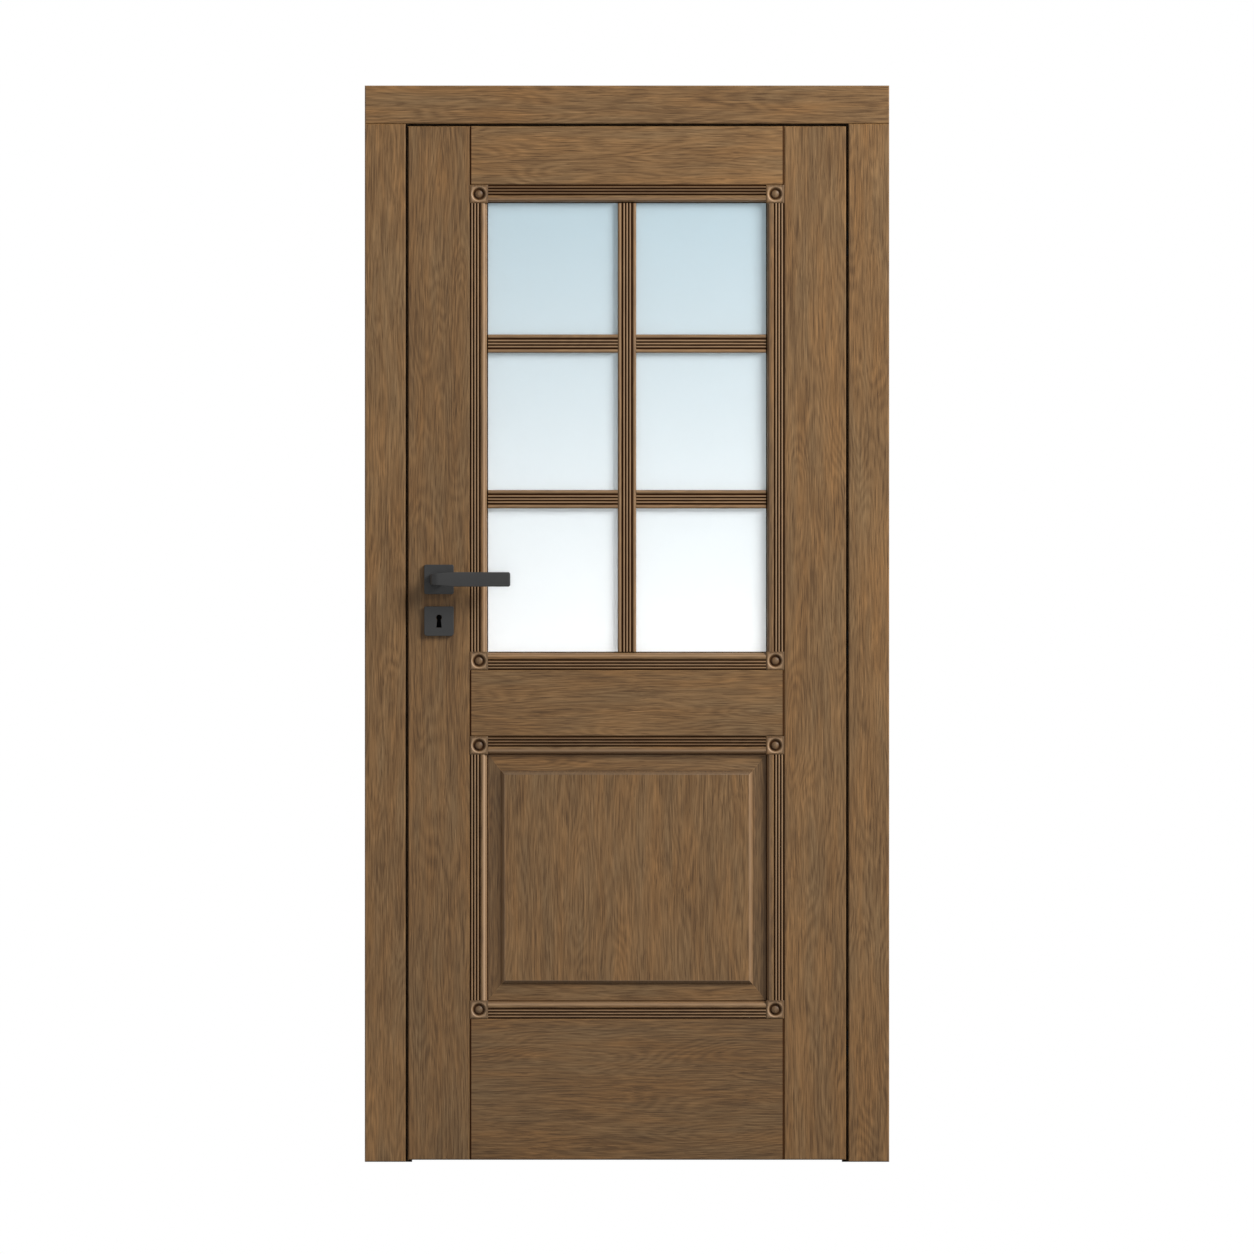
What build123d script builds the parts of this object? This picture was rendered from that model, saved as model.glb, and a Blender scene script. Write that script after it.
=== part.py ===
from build123d import *
import os

# Interior door: a stile and rail leaf, glazed in six panes over one raised panel, hung flush
# with flat casings in a lined frame. All sizes are in millimetres.
# X runs to the right as the front is faced, Y away from the viewer and Z up.
# The origin is at floor level on the hinge jamb's wall face, in the plane of the wall's front.

# Leaf
leaf_width = 860
leaf_height = 2030
leaf_thickness = 40
stile_width = 121
top_rail_height = 115
lock_rail_height = 130
bottom_rail_height = 277
panel_opening_height = 555
leaf_ease = 2.0
latch_edge_bevel = 1.5

# Gaps round the leaf
edge_gap = 5
floor_gap = 4
stop_gap = 3

# Lining, stop and casings
wall_thickness = 100
jamb_thickness = 36
stop_projection = 13
casing_width = 80
casing_thickness = 12
head_casing_height = 75
casing_ease = 2.0

# Rubber seal on the stop
seal_width = 6
seal_inset = 1
seal_clearance = 0.3

# Reeded moulding round each opening, its depths counted back from the leaf's face
moulding_width = 36
moulding_setback = 0.3
reed_count = 3
reed_width = 4.2
reed_pitch = 6.4
reed_ease = 1.1
edge_groove = 1.1
groove_depth = 3.6
roll_outer_radius = 5.6
roll_inner_radius = 8

# Turned corner blocks
block_ease_width = 2.6
block_ease_depth = 1.4
bowl_radius = 14.8
button_radius = 8.6
bowl_depth = 4.8
button_sink = 0.9

# Glass and glazing bars
glass_thickness = 4
glass_edge_clearance = 3
bar_width = 36
bar_setback = 7
bar_bead_width = 6.5
bar_bead_rise = 1.7
bar_groove_depth = 3
bar_reed_width = 4
bar_reed_pitch = 6
top_pane_height = 258
middle_pane_height = 269.5

# Raised panel
panel_edge_thickness = 12
panel_edge_clearance = 2
field_side_margin = 23.5
field_end_margin = 29.5
border_rise = 5
field_bevel_width = 8
field_rise = 5

# Handle set
spindle_from_edge = 60.7
spindle_height = 1144
key_below_spindle = 82
rose_size = 58
rose_thickness = 8
rose_corner_radius = 3
spindle_size = 8
spindle_hole_radius = 6.5
spindle_socket_depth = 14
lever_clearance = 0.3
lever_reach = 140
lever_heel = 17
lever_heel_cut = 6
lever_shoulder = 28
lever_neck_width = 24
lever_heel_height = 20.5
lever_tip_height = 28.5
lever_back_stand = 42
lever_thickness = 13
lever_tip_thickness = 10
lever_corner_radius = 3.5
lever_neck_radius = 8
lever_ease = 1.5
keyhole_width = 10.4
keyhole_height = 25
keyhole_waist = 6.6

# Lock in the latch stile
lock_case_depth = 90
lock_case_thickness = 15
lock_case_above_spindle = 45
lock_case_below_key = 55
lock_hub_radius = 6.3
keyway_depth = 4
forend_width = 22
forend_thickness = 3
forend_overhang = 26
bolt_width = 10
latch_bolt_height = 34
dead_bolt_height = 32
bolt_sink = 0.5

# Strike plate on the latch jamb
strike_width = 19
strike_thickness = 2.5
strike_overhang = 20
strike_offset = 2
strike_hole_clearance = 2
strike_mortice_depth = 16

# Concealed hinges, with arms that are arcs about the swing axis
axis_lead = 4
arm_inner_radius = 26
arm_thickness = 6
arm_half_angle = 68
arm_height = 18
arm_spacing = 30
arm_clearance = 0.5
channel_end_angle = 2
cup_height = 110
cup_wall = 2
lower_hinge_rise = 230
upper_hinge_drop = 230

# How far a cutter runs past the face that it opens
cutter_overrun = 1

# Places that follow from the sizes
leaf_front = -casing_thickness
leaf_back = leaf_front + leaf_thickness
leaf_middle = leaf_front + leaf_thickness / 2
stop_front = leaf_back + stop_gap
hinge_rebate = -jamb_thickness
leaf_hinge_edge = hinge_rebate - edge_gap
leaf_latch_edge = leaf_hinge_edge - leaf_width
latch_rebate = leaf_latch_edge - edge_gap
latch_wall = latch_rebate - jamb_thickness
leaf_bottom = floor_gap
leaf_top = leaf_bottom + leaf_height
head_rebate = leaf_top + edge_gap
head_wall = head_rebate + jamb_thickness
jamb_reach = jamb_thickness + stop_projection
hinge_stop = -jamb_reach
latch_stop = latch_wall + jamb_reach
head_stop = head_wall - jamb_reach

opening_left = leaf_latch_edge + stile_width
opening_right = leaf_hinge_edge - stile_width
opening_middle = (opening_left + opening_right) / 2
panel_opening_bottom = leaf_bottom + bottom_rail_height
panel_opening_top = panel_opening_bottom + panel_opening_height
glazed_opening_bottom = panel_opening_top + lock_rail_height
glazed_opening_top = leaf_top - top_rail_height

glass_depth = (leaf_thickness - glass_thickness) / 2
panel_depth = (leaf_thickness - panel_edge_thickness) / 2
spindle_x = leaf_latch_edge + spindle_from_edge
key_height = spindle_height - key_below_spindle
swing_axis_x = hinge_rebate - edge_gap / 2
swing_axis_y = leaf_front - axis_lead
arm_outer_radius = arm_inner_radius + arm_thickness
lower_hinge = leaf_bottom + lower_hinge_rise
upper_hinge = leaf_top - upper_hinge_drop
hinge_heights = (lower_hinge, (lower_hinge + upper_hinge) / 2, upper_hinge)
latch_bolt_low = spindle_height - latch_bolt_height / 2
dead_bolt_low = key_height - dead_bolt_height / 2
strike_low = dead_bolt_low - strike_overhang
strike_high = latch_bolt_low + latch_bolt_height + strike_overhang
case_low = key_height - lock_case_below_key
case_high = spindle_height + lock_case_above_spindle
forend_rear_share = (leaf_thickness + forend_width) / 2 / leaf_thickness
forend_face = leaf_latch_edge + latch_edge_bevel * forend_rear_share
forend_back = forend_face + forend_thickness

outward_front = Vector(0, -1, 0)
outward_rear = Vector(0, 1, 0)


def block(x_low, x_high, y_low, y_high, z_low, z_high):
    """A box between its lowest and highest corners."""
    size = Box(x_high - x_low, y_high - y_low, z_high - z_low, align=(Align.MIN,) * 3)
    return Pos(x_low, y_low, z_low) * size


def upright(outline, z_low, z_high):
    """A plan outline raised from one height to another."""
    face = Pos(0, 0, z_low) * Polygon(*outline, align=None)
    return extrude(face, z_high - z_low, dir=(0, 0, 1))


def crosswise(outline, x_low, x_high):
    """An outline of (y, z) points carried along X."""
    plane = Plane(origin=(x_low, 0, 0), x_dir=(0, 1, 0), z_dir=(1, 0, 0))
    return extrude(plane * Polygon(*outline, align=None), x_high - x_low, dir=(1, 0, 0))


def elevation_prism(outline):
    """An outline of (x, z) points carried through the whole depth of the door."""
    plane = Plane(origin=(0, 0, 0), x_dir=(1, 0, 0), z_dir=(0, -1, 0))
    return extrude(plane * Polygon(*outline, align=None), 2 * wall_thickness, both=True)


def face_plane(x, z, outward):
    """A plane on the leaf's face at one point, its normal out of the leaf and its Y upwards."""
    y = leaf_front if outward.Y < 0 else leaf_back
    return Plane(origin=(x, y, z), x_dir=Vector(0, 0, 1).cross(outward), z_dir=outward)


def eased(solid, outward, ease):
    """The solid with the arrises of its outermost face on one side eased."""
    face = solid.faces().sort_by(Axis((0, 0, 0), outward))[-1]
    return chamfer(face.edges(), ease)


def board(x_low, x_high, z_low, z_high, bevel=0.0):
    """A leaf board with its arrises eased on both faces and, if asked, a bevelled low edge."""
    outline = [
        (x_low, leaf_front),
        (x_high, leaf_front),
        (x_high, leaf_back),
        (x_low + bevel, leaf_back),
    ]
    solid = eased(upright(outline, z_low, z_high), outward_front, leaf_ease)
    return eased(solid, outward_rear, leaf_ease)


# Frame


def side_mitre(wall_x, inward):
    """The region a side piece keeps under its mitre with the head."""
    inner_x = wall_x + inward * jamb_reach
    return elevation_prism([(wall_x, 0), (wall_x, head_wall), (inner_x, head_stop), (inner_x, 0)])


def head_mitre():
    """The region the head pieces keep between the two mitres."""
    return elevation_prism(
        [(latch_wall, head_wall), (0, head_wall), (hinge_stop, head_stop), (latch_stop, head_stop)]
    )


def side_jamb(wall_x, inward):
    """A rebated side jamb, mitred at its head."""
    rebate_x = wall_x + inward * jamb_thickness
    stop_x = wall_x + inward * jamb_reach
    outline = [
        (wall_x, 0),
        (wall_x, wall_thickness),
        (stop_x, wall_thickness),
        (stop_x, stop_front),
        (rebate_x, stop_front),
        (rebate_x, 0),
    ]
    return upright(outline, 0, head_wall) & side_mitre(wall_x, inward)


def head_jamb():
    """The rebated head, mitred at both ends."""
    outline = [
        (0, head_wall),
        (wall_thickness, head_wall),
        (wall_thickness, head_stop),
        (stop_front, head_stop),
        (stop_front, head_rebate),
        (0, head_rebate),
    ]
    return crosswise(outline, latch_wall, 0) & head_mitre()


def casing(x_low, x_high, z_low, z_high, wall_y, outward):
    """A flat casing board on one face of the wall, eased round its face."""
    face_y = wall_y + outward.Y * casing_thickness
    solid = block(x_low, x_high, min(wall_y, face_y), max(wall_y, face_y), z_low, z_high)
    return eased(solid, outward, casing_ease)


def casings(leg_x_low, leg_x_high, leg_top, wall_y, outward):
    """Two casing legs on the floor and a head casing that lies on them."""
    inner_low = leg_x_low + casing_width
    inner_high = leg_x_high - casing_width
    head_top = leg_top + head_casing_height
    latch_leg = casing(leg_x_low, inner_low, 0, leg_top, wall_y, outward)
    hinge_leg = casing(inner_high, leg_x_high, 0, leg_top, wall_y, outward)
    head = casing(leg_x_low, leg_x_high, leg_top, head_top, wall_y, outward)
    return latch_leg, hinge_leg, head


def seal_section(plane):
    """The half round section of the seal, its flat on the stop."""
    crest = stop_gap - seal_clearance
    arc = ThreePointArc((0, 0), (seal_width / 2, crest), (seal_width, 0))
    return plane * make_face([arc.edge(), Line((seal_width, 0), (0, 0)).edge()])


def frame_seal():
    """The rubber seal along both jambs and the head, welded at its mitres."""
    hinge_plane = Plane(
        origin=(hinge_stop + seal_inset, stop_front, 0), x_dir=(1, 0, 0), z_dir=(0, 0, 1)
    )
    latch_plane = Plane(
        origin=(latch_stop - seal_inset, stop_front, 0), x_dir=(-1, 0, 0), z_dir=(0, 0, -1)
    )
    head_plane = Plane(
        origin=(0, stop_front, head_stop + seal_inset), x_dir=(0, 0, 1), z_dir=(-1, 0, 0)
    )
    hinge_run = extrude(seal_section(outward_turned(hinge_plane)), head_wall, both=True)
    latch_run = extrude(seal_section(outward_turned(latch_plane)), head_wall, both=True)
    head_run = extrude(seal_section(outward_turned(head_plane)), -latch_wall, both=True)
    hinge_leg = hinge_run & side_mitre(0, -1)
    latch_leg = latch_run & side_mitre(latch_wall, 1)
    head_leg = head_run & head_mitre()
    return hinge_leg + head_leg + latch_leg


def outward_turned(plane):
    """The plane with its local Y towards the viewer."""
    return Plane(origin=plane.origin, x_dir=plane.x_dir, z_dir=plane.x_dir.cross(outward_front))


def strike_body():
    """The strike plate's outer box, which is also its recess in the jamb."""
    y_middle = leaf_middle + strike_offset
    half = strike_width / 2
    return block(
        latch_rebate - strike_thickness,
        latch_rebate,
        y_middle - half,
        y_middle + half,
        strike_low,
        strike_high,
    )


def bolt_boxes(x_low, x_high, clearance):
    """The latch and dead bolt spaces between two X places."""
    half = bolt_width / 2 + clearance
    y_low, y_high = leaf_middle - half, leaf_middle + half
    return [
        block(x_low, x_high, y_low, y_high, low - clearance, low + height + clearance)
        for low, height in ((latch_bolt_low, latch_bolt_height), (dead_bolt_low, dead_bolt_height))
    ]


def strike_plate():
    """The strike plate, flush in the latch jamb, with its two bolt holes."""
    plate = strike_body()
    for hole in bolt_boxes(latch_rebate - strike_thickness, latch_rebate, strike_hole_clearance):
        plate -= hole
    return plate


# Concealed hinges


def hinge_sector(inner, outer, half_angle, z_middle, height):
    """A ring sector about the swing axis, centred on the way into the wall."""
    ring = Cylinder(outer, height) - Cylinder(inner, height)
    start = 90 - half_angle
    keep = extrude(sector_face(2 * outer, start, start + 2 * half_angle), height / 2, both=True)
    return Pos(swing_axis_x, swing_axis_y, z_middle) * (ring & keep)


def sector_face(radius, start, end):
    """A pie slice between two angles."""
    first = PolarLine((0, 0), radius, start).edge()
    arc = CenterArc((0, 0), radius, start, end - start).edge()
    last = Line(arc.position_at(1), (0, 0)).edge()
    return make_face([first, arc, last])


def hinge_channel(z_middle):
    """The curved way that the arms of one hinge run in."""
    height = arm_spacing + arm_height + 2 * arm_clearance
    inner = arm_inner_radius - arm_clearance
    outer = arm_outer_radius + arm_clearance
    return hinge_sector(inner, outer, arm_half_angle + channel_end_angle, z_middle, height)


def cup_block(edge_x, inward, z_middle):
    """The body of one cup, let in from the edge at edge_x."""
    channel = hinge_channel(z_middle).bounding_box()
    deep_x = channel.max.X if inward > 0 else channel.min.X
    far_x = deep_x + inward * cup_wall
    return block(
        min(edge_x, far_x),
        max(edge_x, far_x),
        channel.min.Y - cup_wall,
        channel.max.Y + cup_wall,
        z_middle - cup_height / 2,
        z_middle + cup_height / 2,
    )


def hinge_cups(edge_x, inward):
    """The cups of all hinges on one side, each with its channel."""
    return [cup_block(edge_x, inward, z) - hinge_channel(z) for z in hinge_heights]


def hinge_arms():
    """Two curved arms in each hinge."""
    return [
        hinge_sector(arm_inner_radius, arm_outer_radius, arm_half_angle, z + offset, arm_height)
        for z in hinge_heights
        for offset in (-arm_spacing / 2, arm_spacing / 2)
    ]


# Leaf openings


def reed(left, width, crest, floor):
    """The outline of one reed with eased arrises, from groove floor to groove floor."""
    right = left + width
    shoulder = crest - reed_ease
    return [
        (left, floor),
        (left, shoulder),
        (left + reed_ease, crest),
        (right - reed_ease, crest),
        (right, shoulder),
        (right, floor),
    ]


def moulding_section(seat_depth):
    """Reeds beside a roll: x runs in from the opening's edge, y out of the leaf."""
    floor = -groove_depth
    crest = -moulding_setback
    crest_x = moulding_width - roll_inner_radius
    rise_y = floor - (crest - roll_outer_radius)
    foot_x = crest_x - (roll_outer_radius**2 - rise_y**2) ** 0.5
    inner_y = crest - roll_inner_radius
    points = [(0, -seat_depth), (0, floor)]
    for number in range(reed_count):
        points += reed(edge_groove + number * reed_pitch, reed_width, crest, floor)
    points.append((foot_x, floor))
    edges = [
        *Polyline(*points).edges(),
        RadiusArc((foot_x, floor), (crest_x, crest), roll_outer_radius).edge(),
        RadiusArc((crest_x, crest), (moulding_width, inner_y), roll_inner_radius).edge(),
        Line((moulding_width, inner_y), (moulding_width, -seat_depth)).edge(),
        Line((moulding_width, -seat_depth), (0, -seat_depth)).edge(),
    ]
    return make_face(edges)


def opening_mouldings(z_low, z_high, seat_depth, outward):
    """Four mouldings round an opening, running between its corner blocks."""
    section = moulding_section(seat_depth)
    half_width = (opening_right - opening_left) / 2
    half_height = (z_high - z_low) / 2
    middle = face_plane(opening_middle, (z_low + z_high) / 2, outward).origin
    runs = []
    for inward in (Vector(1, 0, 0), Vector(-1, 0, 0), Vector(0, 0, 1), Vector(0, 0, -1)):
        along = inward.cross(outward)
        reach, half_length = (half_height, half_width) if inward.Z else (half_width, half_height)
        length = 2 * (half_length - moulding_width)
        start = middle - inward * reach - along * (length / 2)
        runs.append(extrude(Plane(origin=start, x_dir=inward, z_dir=along) * section, length))
    return runs


def turned_recess():
    """The turned bowl round a raised button, as the solid that a cutter takes away."""
    outline = Polygon(
        (0, cutter_overrun),
        (0, -button_sink),
        (button_radius, -button_sink),
        (button_radius, -bowl_depth),
        (bowl_radius, 0),
        (bowl_radius, cutter_overrun),
        align=None,
    )
    return revolve(Plane.XZ * outline, Axis.Z)


def corner_rosette(seat_depth):
    """One corner block with its face at height zero, less the turned recess."""
    top_align = (Align.CENTER, Align.CENTER, Align.MAX)
    body = Box(moulding_width, moulding_width, seat_depth, align=top_align)
    face = body.faces().sort_by(Axis.Z)[-1]
    body = chamfer(face.edges(), block_ease_depth, block_ease_width, reference=face)
    return body - turned_recess()


def opening_rosettes(z_low, z_high, seat_depth, outward):
    """The four corner blocks of an opening."""
    block_solid = corner_rosette(seat_depth)
    inset = moulding_width / 2
    return [
        face_plane(x, z, outward).location * block_solid
        for x in (opening_left + inset, opening_right - inset)
        for z in (z_low + inset, z_high - inset)
    ]


def bar_section():
    """A glazing bar: a round bead at each side, reeds between them."""
    half = bar_width / 2
    bead_reach = half - bar_bead_width
    bead_middle = half - bar_bead_width / 2
    crest = -bar_setback
    foot = crest - bar_bead_rise
    floor = crest - bar_groove_depth
    points = [(-bead_reach, foot), (-bead_reach, floor)]
    for number in range(reed_count):
        middle = (number - (reed_count - 1) / 2) * bar_reed_pitch
        points += reed(middle - bar_reed_width / 2, bar_reed_width, crest, floor)
    points += [(bead_reach, floor), (bead_reach, foot)]
    edges = [
        Line((-half, -glass_depth), (-half, foot)).edge(),
        ThreePointArc((-half, foot), (-bead_middle, crest), (-bead_reach, foot)).edge(),
        *Polyline(*points).edges(),
        ThreePointArc((bead_reach, foot), (bead_middle, crest), (half, foot)).edge(),
        Line((half, foot), (half, -glass_depth)).edge(),
        Line((half, -glass_depth), (-half, -glass_depth)).edge(),
    ]
    return make_face(edges)


def upright_bar(outward):
    """The middle bar, from the bottom moulding to the top one."""
    z_low = glazed_opening_bottom + moulding_width
    z_high = glazed_opening_top - moulding_width
    along = Vector(1, 0, 0).cross(outward)
    start_z = z_low if along.Z > 0 else z_high
    start = face_plane(opening_middle, start_z, outward).origin
    plane = Plane(origin=start, x_dir=(1, 0, 0), z_dir=along)
    return extrude(plane * bar_section(), z_high - z_low)


def crossbars(outward):
    """Two crossbars on each side of the middle bar."""
    upper = glazed_opening_top - moulding_width - top_pane_height - bar_width / 2
    lower = upper - bar_width - middle_pane_height
    clear_left = opening_left + moulding_width
    clear_right = opening_right - moulding_width
    spans = ((clear_left, opening_middle - bar_width / 2), (opening_middle + bar_width / 2, clear_right))
    along = Vector(0, 0, 1).cross(outward)
    bars = []
    for z in (upper, lower):
        for x_low, x_high in spans:
            start_x = x_low if along.X > 0 else x_high
            start = face_plane(start_x, z, outward).origin
            plane = Plane(origin=start, x_dir=(0, 0, 1), z_dir=along)
            bars.append(extrude(plane * bar_section(), x_high - x_low))
    return bars


def glass_pane():
    """One sheet behind all six panes, held between the front and rear beads."""
    return block(
        opening_left + glass_edge_clearance,
        opening_right - glass_edge_clearance,
        leaf_front + glass_depth,
        leaf_back - glass_depth,
        glazed_opening_bottom + glass_edge_clearance,
        glazed_opening_top - glass_edge_clearance,
    )


def raised_field(outward):
    """The sloped border and the bevelled field that stand up from one face of the panel."""
    middle_z = panel_opening_bottom + panel_opening_height / 2
    plane = face_plane(opening_middle, middle_z, outward).offset(-panel_depth)
    full_width = opening_right - opening_left - 2 * moulding_width
    full_height = panel_opening_height - 2 * moulding_width
    foot_width = full_width - 2 * field_side_margin
    foot_height = full_height - 2 * field_end_margin
    crown_width = foot_width - 2 * field_bevel_width
    crown_height = foot_height - 2 * field_bevel_width
    edge = plane * Rectangle(full_width, full_height)
    foot = plane.offset(border_rise) * Rectangle(foot_width, foot_height)
    crown = plane.offset(border_rise + field_rise) * Rectangle(crown_width, crown_height)
    return loft([edge, foot]) + loft([foot, crown])


def raised_panel():
    """The fielded panel, raised on both faces."""
    slab = block(
        opening_left + panel_edge_clearance,
        opening_right - panel_edge_clearance,
        leaf_front + panel_depth,
        leaf_back - panel_depth,
        panel_opening_bottom + panel_edge_clearance,
        panel_opening_top - panel_edge_clearance,
    )
    return slab + raised_field(outward_front) + raised_field(outward_rear)


# Handle set and lock


def keyhole_face():
    """A keyhole: a round head over a slot that widens to its foot."""
    head_radius = keyhole_width / 2
    head_middle = keyhole_height / 2 - head_radius
    foot = -keyhole_height / 2
    slot = Polygon(
        (-head_radius, foot),
        (head_radius, foot),
        (keyhole_waist / 2, head_middle),
        (-keyhole_waist / 2, head_middle),
        align=None,
    )
    return slot + Pos(0, head_middle) * Circle(head_radius)


def keyhole_cut(outward, depth, stand):
    """The keyhole from a stand above the leaf's face to a depth below it."""
    plane = face_plane(spindle_x, key_height, outward).offset(-depth)
    return extrude(plane * keyhole_face(), depth + stand)


def round_cut(outward, radius, depth, stand):
    """A round hole on the spindle's centre."""
    plane = face_plane(spindle_x, spindle_height, outward).offset(-depth)
    return extrude(plane * Circle(radius), depth + stand)


def square_plate(z, outward):
    """A square rose or escutcheon with small corner radii."""
    outline = RectangleRounded(rose_size, rose_size, rose_corner_radius)
    return extrude(face_plane(spindle_x, z, outward) * outline, rose_thickness)


def lever(outward):
    """A lever: its plan, an L with a cut heel and a rounded inner corner, within its outline."""
    back = lever_back_stand
    front = back + lever_thickness
    foot = rose_thickness + lever_clearance
    neck_right = lever_neck_width - lever_heel
    turn = (neck_right + lever_neck_radius, back)
    plan_edges = [
        Line((-lever_heel, foot), (neck_right, foot)),
        Line((neck_right, foot), (neck_right, back - lever_neck_radius)),
        RadiusArc((neck_right, back - lever_neck_radius), turn, lever_neck_radius),
        Line(turn, (lever_reach, front - lever_tip_thickness)),
        Line((lever_reach, front - lever_tip_thickness), (lever_reach, front)),
        Line((lever_reach, front), (lever_heel_cut - lever_heel, front)),
        Line((lever_heel_cut - lever_heel, front), (-lever_heel, front - lever_heel_cut)),
        Line((-lever_heel, front - lever_heel_cut), (-lever_heel, foot)),
    ]
    along = Vector(1, 0, 0)
    centre = face_plane(spindle_x, spindle_height, outward).origin
    plan_plane = Plane(origin=centre, x_dir=along, z_dir=along.cross(outward))
    plan_face = plan_plane * make_face([edge.edge() for edge in plan_edges])
    plan_solid = extrude(plan_face, lever_tip_height, both=True)
    half_heel = lever_heel_height / 2
    half_tip = lever_tip_height / 2
    outline = Polygon(
        (-lever_heel, -half_heel),
        (lever_shoulder, -half_tip),
        (lever_reach, -half_tip),
        (lever_reach, half_tip),
        (lever_shoulder, half_tip),
        (-lever_heel, half_heel),
        align=None,
    )
    outline = fillet(outline.vertices(), lever_corner_radius)
    front_solid = extrude(Plane(origin=centre, x_dir=along, z_dir=outward) * outline, front)
    return eased(plan_solid & front_solid, outward, lever_ease) - spindle()


def spindle():
    """The square spindle, from one lever's neck to the other's."""
    reach = rose_thickness + lever_clearance + spindle_socket_depth
    half = spindle_size / 2
    return block(
        spindle_x - half,
        spindle_x + half,
        leaf_front - reach,
        leaf_back + reach,
        spindle_height - half,
        spindle_height + half,
    )


def lock_case_body():
    """The lock case's outer box."""
    half = lock_case_thickness / 2
    return block(
        forend_back,
        leaf_latch_edge + lock_case_depth,
        leaf_middle - half,
        leaf_middle + half,
        case_low,
        case_high,
    )


def lock_case():
    """The lock case with its hub hole, its keyways and the ways of its bolts."""
    case = lock_case_body()
    depth = (leaf_thickness - lock_case_thickness) / 2 + keyway_depth
    case -= round_cut(outward_front, lock_hub_radius, leaf_thickness, 0)
    for outward in (outward_front, outward_rear):
        case -= keyhole_cut(outward, depth, 0)
    for bolt in lock_bolts():
        case -= bolt
    return case


def forend_body(front_x):
    """The forend's box from a front place to its back."""
    half = forend_width / 2
    return block(
        front_x,
        forend_back,
        leaf_middle - half,
        leaf_middle + half,
        case_low - forend_overhang,
        case_high + forend_overhang,
    )


def lock_forend():
    """The forend plate with the openings of the two bolts."""
    plate = forend_body(forend_face)
    for hole in bolt_boxes(forend_face, forend_back, 0):
        plate -= hole
    return plate


def lock_bolts():
    """The latch and dead bolts, both drawn back into the forend."""
    return bolt_boxes(forend_face + bolt_sink, forend_back + strike_mortice_depth, 0)


def latch_stile():
    """The stile that carries the lock, with its mortice and the holes into it."""
    stile = board(leaf_latch_edge, opening_left, leaf_bottom, leaf_top, latch_edge_bevel)
    stile -= lock_case_body() + forend_body(leaf_latch_edge)
    depth = leaf_thickness / 2
    for outward in (outward_front, outward_rear):
        stile -= round_cut(outward, spindle_hole_radius, depth, 0)
        stile -= keyhole_cut(outward, depth, 0)
    return stile


def hinge_stile():
    """The stile that carries the hinge cups."""
    stile = board(opening_right, leaf_hinge_edge, leaf_bottom, leaf_top)
    for z in hinge_heights:
        stile -= cup_block(leaf_hinge_edge, -1, z)
    return stile


def rail(z_low, z_high):
    """A rail between the stiles."""
    return board(opening_left, opening_right, z_low, z_high)


def hinge_side_piece(piece):
    """A piece of the hinge side of the frame with the cups' pockets cut in it."""
    for z in hinge_heights:
        piece -= cup_block(hinge_rebate, 1, z)
    return piece


def latch_jamb():
    """The latch jamb with the strike plate's recess and the bolts' mortices."""
    jamb = side_jamb(latch_wall, 1)
    jamb -= strike_body()
    deep = latch_rebate - strike_mortice_depth
    for hole in bolt_boxes(deep, latch_rebate, strike_hole_clearance):
        jamb -= hole
    return jamb


front_casings = casings(
    latch_rebate - casing_width, hinge_rebate + casing_width, head_rebate, 0, outward_front
)
rear_casings = casings(
    latch_stop - casing_width, hinge_stop + casing_width, head_stop, wall_thickness, outward_rear
)
glazing = (glazed_opening_bottom, glazed_opening_top, glass_depth)
panelling = (panel_opening_bottom, panel_opening_top, panel_depth)

nodes = {
    "hinge_jamb": hinge_side_piece(side_jamb(0, -1)),
    "latch_jamb": latch_jamb(),
    "head_jamb": head_jamb(),
    "front_latch_casing": front_casings[0],
    "front_hinge_casing": hinge_side_piece(front_casings[1]),
    "front_head_casing": front_casings[2],
    "rear_latch_casing": rear_casings[0],
    "rear_hinge_casing": rear_casings[1],
    "rear_head_casing": rear_casings[2],
    "frame_seal": frame_seal(),
    "strike_plate": strike_plate(),
    "frame_hinge_cups": hinge_cups(hinge_rebate, 1),
    "hinge_arms": hinge_arms(),
    "hinge_stile": hinge_stile(),
    "latch_stile": latch_stile(),
    "top_rail": rail(glazed_opening_top, leaf_top),
    "lock_rail": rail(panel_opening_top, glazed_opening_bottom),
    "bottom_rail": rail(leaf_bottom, panel_opening_bottom),
    "glass_pane": glass_pane(),
    "raised_panel": raised_panel(),
    "leaf_hinge_cups": hinge_cups(leaf_hinge_edge, -1),
    "lock_case": lock_case(),
    "lock_forend": lock_forend(),
    "lock_bolts": lock_bolts(),
    "spindle": spindle(),
}
for side_name, outward in (("front", outward_front), ("rear", outward_rear)):
    nodes[f"{side_name}_glazing_mouldings"] = opening_mouldings(*glazing, outward)
    nodes[f"{side_name}_panel_mouldings"] = opening_mouldings(*panelling, outward)
    nodes[f"{side_name}_glazing_rosettes"] = opening_rosettes(*glazing, outward)
    nodes[f"{side_name}_panel_rosettes"] = opening_rosettes(*panelling, outward)
    nodes[f"{side_name}_upright_bar"] = upright_bar(outward)
    nodes[f"{side_name}_crossbars"] = crossbars(outward)
    rose = square_plate(spindle_height, outward)
    nodes[f"{side_name}_handle_rose"] = rose - round_cut(
        outward, spindle_hole_radius, 0, rose_thickness
    )
    escutcheon = square_plate(key_height, outward)
    nodes[f"{side_name}_escutcheon"] = escutcheon - keyhole_cut(outward, 0, rose_thickness)
    nodes[f"{side_name}_lever"] = lever(outward)

os.makedirs("parts", exist_ok=True)
for name, shape in nodes.items():
    pieces = shape if isinstance(shape, list) else [shape]
    solids = [solid for piece in pieces for solid in piece.solids()]
    export_step(Compound(solids), f"parts/{name}.step")
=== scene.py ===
import math
from functools import partial
from itertools import product

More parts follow.
